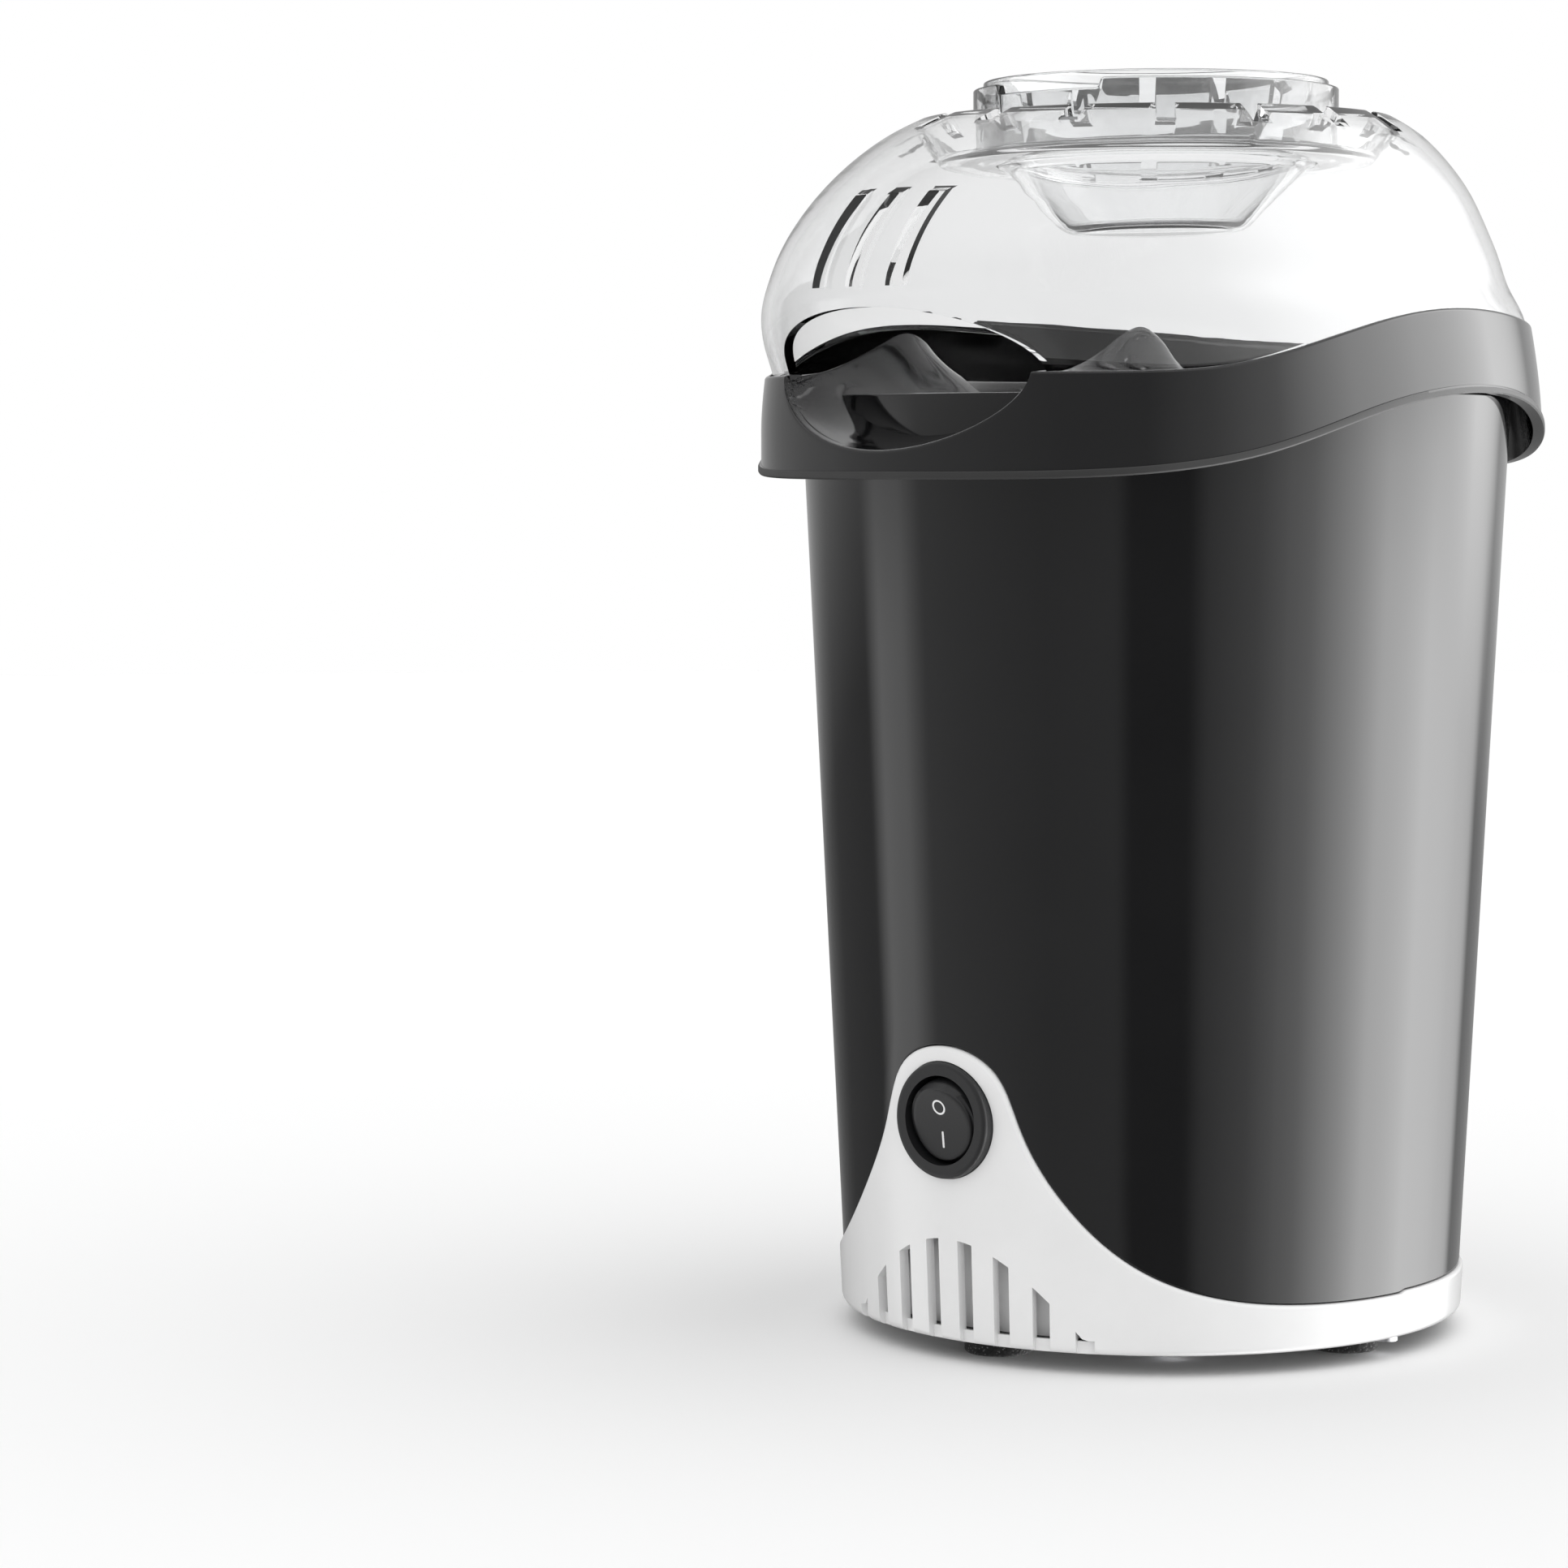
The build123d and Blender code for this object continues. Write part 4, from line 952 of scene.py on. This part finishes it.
def makeSwitch():
    low, high = boxOf("switch_body")
    centreZ = (low.z + high.z) / 2
    front = low.y
    bezel = (high.x - low.x) / 2
    corners = roundedProfile([
        (bezel, 3.6, 0.0),
        (bezel, 0.0, switch["edgeRound"]),
        (switch["bore"] + 0.5, switch["funnel"] * 0.35, 0.6),
        (switch["bore"], switch["funnel"] + 0.9, 0.5),
        (switch["bore"], switch["depth"], 0.0),
        (switch["bore"] + 0.9, switch["depth"], 0.0),
        (switch["bore"] + 0.9, 3.6, 0.0),
    ], 6)
    rings = []
    for i in range(128):
        t = fullTurn * i / 128
        rings.append([(r * math.sin(t), front + depth, centreZ + r * math.cos(t)) for r, depth in corners])
    piece = ringSkin("switch_bezel", rings)
    evenNormals(piece)
    finishPiece(piece, "housing", finishes["satinBlack"])

    pivot = Vector((0.0, front + switch["pivotDepth"], centreZ))
    tilt = Matrix.Rotation(math.radians(switch["tilt"]), 3, "X")

    def placed(x, y, z):
        return tuple(tilt @ Vector((x, y, z)) + pivot)

    faceRadius = math.sqrt(switch["ball"] ** 2 - switch["face"] ** 2)

    def faceDepth(z):  # the face is hollow between its two ends
        return -switch["face"] + switch["hollow"] * max(0.0, 1 - (z / faceRadius) ** 2)

    rings = []
    for i in range(120):
        t = fullTurn * i / 120
        c, s = math.sin(t), math.cos(t)
        ring = []
        for step in range(12):
            r = (faceRadius - 0.5) * step / 11
            ring.append(placed(r * c, faceDepth(r * s), r * s))
        for extra, drop in ((0.2, 0.06), (0.42, 0.3), (0.52, 0.7)):
            r = faceRadius - 0.5 + extra
            ring.append(placed(r * c, faceDepth(r * s) + drop, r * s))
        start = -switch["face"] + 1.6
        for step in range(9):
            y = start + (switch["back"] - start) * step / 8
            r = math.sqrt(switch["ball"] ** 2 - y * y)
            ring.append(placed(r * c, y, r * s))
        ring.append(placed(0.0, switch["back"], 0.0))
        rings.append(ring)
    rocker = ringSkin("switch_paddle", rings, closedProfile=False)
    finishPiece(rocker, "rocker", finishes["satinBlack"], ["switch_rocker"])

    lift = switch["legend"]
    rings = []
    outer = switch["ringRadius"] + switch["ringLine"] / 2
    inner = switch["ringRadius"] - switch["ringLine"] / 2
    for i in range(64):
        t = fullTurn * i / 64
        ring = []
        for r, above in ((inner, -0.1), (inner, lift), (outer, lift), (outer, -0.1)):
            x, z = r * math.sin(t), switch["ringHeight"] + r * math.cos(t)
            ring.append(placed(x, faceDepth(z) - above, z))
        rings.append(ring)
    off = ringSkin("legend_off", rings)
    finishPiece(off, "rocker", finishes["legendWhite"])

    half, length = switch["barLine"] / 2, switch["barLength"] / 2
    ends = ((-half, -length), (half, -length), (half, length), (-half, length))
    corners = roundedProfile([(x, z, 0.22) for x, z in ends])
    count = len(corners)
    points = []
    for above in (lift, -0.1):
        for x, z in corners:
            z = z + switch["barHeight"]
            points.append(placed(x, faceDepth(z) - above, z))
    faces = [tuple(range(count)), tuple(range(2 * count - 1, count - 1, -1))]
    faces += [(i, (i + 1) % count, (i + 1) % count + count, i + count) for i in range(count)]
    bar = meshObject("legend_on", points, faces)
    finishPiece(bar, "rocker", finishes["legendWhite"])


foot = {"radius": 7.6, "ringRadius": 55.0, "height": 5.8, "edge": 0.8, "count": 4}


def makeFeet():
    for index in range(foot["count"]):
        angle = fullTurn * index / foot["count"]
        centre = (foot["ringRadius"] * math.sin(angle), -foot["ringRadius"] * math.cos(angle))
        profile = roundedProfile([
            (0.0, 0.0, 0.0),
            (foot["radius"] * 0.6, 0.0, 0.0),
            (foot["radius"], 0.0, foot["edge"]),
            (foot["radius"], foot["height"], 0.3),
            (0.0, foot["height"], 0.0),
        ])
        piece = turnedPiece(f"foam_foot_{index + 1}", profile, centre, 96, closedProfile=False)
        replaced = ["rubber_feet"] if index == 0 else []
        finishPiece(piece, "housing", finishes["foamRubber"], replaced)


nodeFinishes = {
    "innerPlastic": ["bottom_plate", "motor_end_cap", "cord_clamp"],
    "satinBlack": ["switch_body"],
    "screwSteel": ["rocker_pin", "motor_shaft"],
    "contactBrass": ["switch_terminals"],
    "zincSteel": ["motor_can", "heat_shield"],
    "sinteredMagnet": ["motor_magnets"],
    "coreStack": ["motor_rotor"],
    "heatPlastic": ["fan_impeller", "fan_duct"],
    "micaSheet": ["heater_frame"],
    "resistanceWire": ["heating_coil"],
    "drawnAluminium": ["popping_chamber"],
    "ceramicBody": ["thermostat", "thermal_fuse"],
    "phenolicBoard": ["rectifier_board"],
    "diodeEpoxy": ["rectifier_diodes"],
    "cordRubber": ["cord_bush"],
    "leadSleeve": ["motor_lead"],
    "whiteShell": ["inlet_guard"],
}


def finishNodes():
    for name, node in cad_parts.items():
        if node.hide_render:
            continue
        fitting = [finish for finish, names in nodeFinishes.items() if name in names]
        finish = fitting[0] if fitting else "screwSteel"
        node.data.materials.clear()
        node.data.materials.append(finishes[finish])


studio = {
    "floorRadius": 3.2, "floorColour": 0.93, "sky": 1.0,
    "cameraTurn": 37.8, "cameraDistance": 1.051, "cameraHeight": 0.2, "aside": 0.081, "down": 0.072,
    "roll": -0.001, "lens": 104.4,
}


def makeFloor():
    rings = []
    radii = (0.0, 120.0, 300.0, 700.0, 1500.0, studio["floorRadius"] / mm)
    for i in range(96):
        t = fullTurn * i / 96
        rings.append([(r * math.sin(t), -r * math.cos(t), 0.0) for r in radii])
    floor = ringSkin("studio_floor", rings, closedProfile=False)
    material, nodes, links, shader = newMaterial("paleFloor")
    place = nodes.new("ShaderNodeTexCoord")
    patch = noiseFrom(nodes, links, place.outputs["Object"], 3.0, 2.0)
    tone = nodes.new("ShaderNodeMapRange")
    tone.inputs["To Min"].default_value = studio["floorColour"] - 0.01
    tone.inputs["To Max"].default_value = studio["floorColour"] + 0.01
    links.new(patch, tone.inputs["Value"])
    links.new(tone.outputs["Result"], shader.inputs["Base Color"])
    shader.inputs["Roughness"].default_value = 0.9
    shader.inputs["Specular IOR Level"].default_value = 0.1
    floor.data.materials.append(material)
    floor.visible_glossy = False
    for polygon in floor.data.polygons:
        if polygon.normal.z < 0:
            polygon.flip()


# soft boxes round the room, as (turn from the camera's side in degrees, brightness)
roomLight = {
    "low": [
        (-180, 0.3), (-140, 0.15), (-112, 0.25), (-104, 1.5), (-92, 1.5), (-82, 0.6), (-36, 0.42),
        (-12, 0.45), (-7, 0.16), (12, 0.16), (18, 0.55), (34, 1.0), (53, 2.3), (70, 5.0), (82, 7.4),
        (104, 7.4), (128, 3.4), (140, 1.9), (146, 0.5), (180, 0.3),
    ],
    "high": [
        (-180, 0.5), (-140, 0.5), (-100, 0.8), (-40, 0.55), (-10, 0.4), (16, 0.4), (34, 0.8), (52, 1.6),
        (74, 4.6), (96, 5.6), (126, 5.0), (150, 0.8), (180, 0.5),
    ],
    "through": [(-180, 0.9), (-60, 0.88), (0, 0.85), (60, 0.95), (180, 0.9)],
    "fill": [(-180, 0.95), (-90, 0.88), (-20, 0.95), (50, 1.3), (110, 1.5), (160, 1.1), (180, 0.95)],
    "top": 1.3, "topFrom": 44.0,
}


def roomRamp(nodes, links, turn, stops, scale=8.0):
    ramp = nodes.new("ShaderNodeValToRGB")
    elements = ramp.color_ramp.elements
    while len(elements) > 1:
        elements.remove(elements[-1])
    first = True
    for angle, level in stops:
        position = (angle + 180) / 360
        shade = level / scale
        if first:
            elements[0].position = position
            elements[0].color = (shade, shade, shade, 1.0)
            first = False
        else:
            element = elements.new(position)
            element.color = (shade, shade, shade, 1.0)
    links.new(turn, ramp.inputs["Fac"])
    return ramp.outputs["Color"]


def mathNode(nodes, links, operation, a, b=None, c=None):
    node = nodes.new("ShaderNodeMath")
    node.operation = operation
    for socket, value in zip(node.inputs, (a, b, c)):
        if value is None:
            continue
        if isinstance(value, (int, float)):
            socket.default_value = value
        else:
            links.new(value, socket)
    return node.outputs["Value"]


def makeRoom():
    world = bpy.data.worlds.new("softRoom")
    bpy.context.scene.world = world
    world.use_nodes = True
    nodes, links = world.node_tree.nodes, world.node_tree.links
    background = nodes["Background"]
    place = nodes.new("ShaderNodeTexCoord")
    parts = nodes.new("ShaderNodeSeparateXYZ")
    links.new(place.outputs["Generated"], parts.inputs["Vector"])
    x, y, z = parts.outputs["X"], parts.outputs["Y"], parts.outputs["Z"]
    turn = math.radians(studio["cameraTurn"])
    xAhead = mathNode(nodes, links, "MULTIPLY", x, math.sin(turn))
    yAhead = mathNode(nodes, links, "MULTIPLY", y, math.cos(turn))
    xAside = mathNode(nodes, links, "MULTIPLY", x, math.cos(turn))
    yAside = mathNode(nodes, links, "MULTIPLY", y, math.sin(turn))
    ahead = mathNode(nodes, links, "SUBTRACT", xAhead, yAhead)
    aside = mathNode(nodes, links, "ADD", xAside, yAside)
    angle = mathNode(nodes, links, "ARCTAN2", aside, ahead)
    share = mathNode(nodes, links, "MULTIPLY_ADD", angle, 1 / fullTurn, 0.5)
    lowBand = roomRamp(nodes, links, share, roomLight["low"])
    highBand = roomRamp(nodes, links, share, roomLight["high"])
    through = roomRamp(nodes, links, share, roomLight["through"], 1.0)
    fill = roomRamp(nodes, links, share, roomLight["fill"], 2.0)
    brighter = nodes.new("ShaderNodeVectorMath")
    brighter.operation = "SCALE"
    links.new(fill, brighter.inputs[0])
    brighter.inputs["Scale"].default_value = 2.0

    rise = nodes.new("ShaderNodeMapRange")
    rise.inputs["From Min"].default_value = -0.10
    rise.inputs["From Max"].default_value = -0.03
    links.new(z, rise.inputs["Value"])
    bands = nodes.new("ShaderNodeMix")
    bands.data_type = "RGBA"
    links.new(rise.outputs["Result"], bands.inputs["Factor"])
    links.new(lowBand, bands.inputs["A"])
    links.new(highBand, bands.inputs["B"])
    top = nodes.new("ShaderNodeMapRange")
    top.inputs["From Min"].default_value = math.sin(math.radians(roomLight["topFrom"]))
    top.inputs["From Max"].default_value = math.sin(math.radians(roomLight["topFrom"] + 22))
    links.new(z, top.inputs["Value"])
    capped = nodes.new("ShaderNodeMix")
    capped.data_type = "RGBA"
    links.new(top.outputs["Result"], capped.inputs["Factor"])
    links.new(bands.outputs["Result"], capped.inputs["A"])
    level = roomLight["top"] / 8.0
    capped.inputs["B"].default_value = (level, level, level, 1.0)
    glossy = nodes.new("ShaderNodeVectorMath")
    glossy.operation = "SCALE"
    links.new(capped.outputs["Result"], glossy.inputs[0])
    glossy.inputs["Scale"].default_value = 8.0

    ray = nodes.new("ShaderNodeLightPath")
    seenIn = nodes.new("ShaderNodeMix")
    seenIn.data_type = "RGBA"
    plain = nodes.new("ShaderNodeMix")
    plain.data_type = "RGBA"
    links.new(ray.outputs["Is Camera Ray"], plain.inputs["Factor"])
    links.new(brighter.outputs["Vector"], plain.inputs["A"])
    plain.inputs["B"].default_value = (studio["sky"],) * 3 + (1.0,)
    links.new(plain.outputs["Result"], seenIn.inputs["A"])
    links.new(ray.outputs["Is Glossy Ray"], seenIn.inputs["Factor"])
    links.new(glossy.outputs["Vector"], seenIn.inputs["B"])
    seenThrough = nodes.new("ShaderNodeMix")
    seenThrough.data_type = "RGBA"
    links.new(ray.outputs["Is Transmission Ray"], seenThrough.inputs["Factor"])
    links.new(seenIn.outputs["Result"], seenThrough.inputs["A"])
    links.new(through, seenThrough.inputs["B"])
    links.new(seenThrough.outputs["Result"], background.inputs["Color"])
    background.inputs["Strength"].default_value = 1.0


def makeCamera():
    turn = math.radians(studio["cameraTurn"])
    across = Vector((math.cos(turn), math.sin(turn), 0.0))
    inwards = Vector((-math.sin(turn), math.cos(turn), 0.0))
    level = math.cos(studio["aside"]) * inwards - math.sin(studio["aside"]) * across
    forward = math.cos(studio["down"]) * level - math.sin(studio["down"]) * Vector((0, 0, 1))
    right = forward.cross(Vector((0, 0, 1))).normalized()
    up = right.cross(forward)
    basis = Matrix((right, up, -forward)).transposed() @ Matrix.Rotation(studio["roll"], 3, "Z")
    data = bpy.data.cameras.new("camera")
    data.lens = studio["lens"]
    data.sensor_width = 36.0
    data.clip_start, data.clip_end = 0.05, 50.0
    camera = bpy.data.objects.new("camera", data)
    bpy.context.scene.collection.objects.link(camera)
    spot = -inwards * studio["cameraDistance"] + Vector((0, 0, studio["cameraHeight"]))
    camera.matrix_world = Matrix.Translation(spot) @ basis.to_4x4()
    bpy.context.scene.camera = camera


makeBody()
print("body made")
makeBase()
print("base made")
makeCollarSkirt()
makeCollarDeck()
print("collar made")
makeDome()
print("dome made")
makeCup()
makeSwitch()
makeFeet()
print("cup, switch and feet made")
finishNodes()
makeFloor()
makeRoom()
makeCamera()
bpy.context.scene.view_settings.view_transform = "Standard"
print("floor, light and camera set")
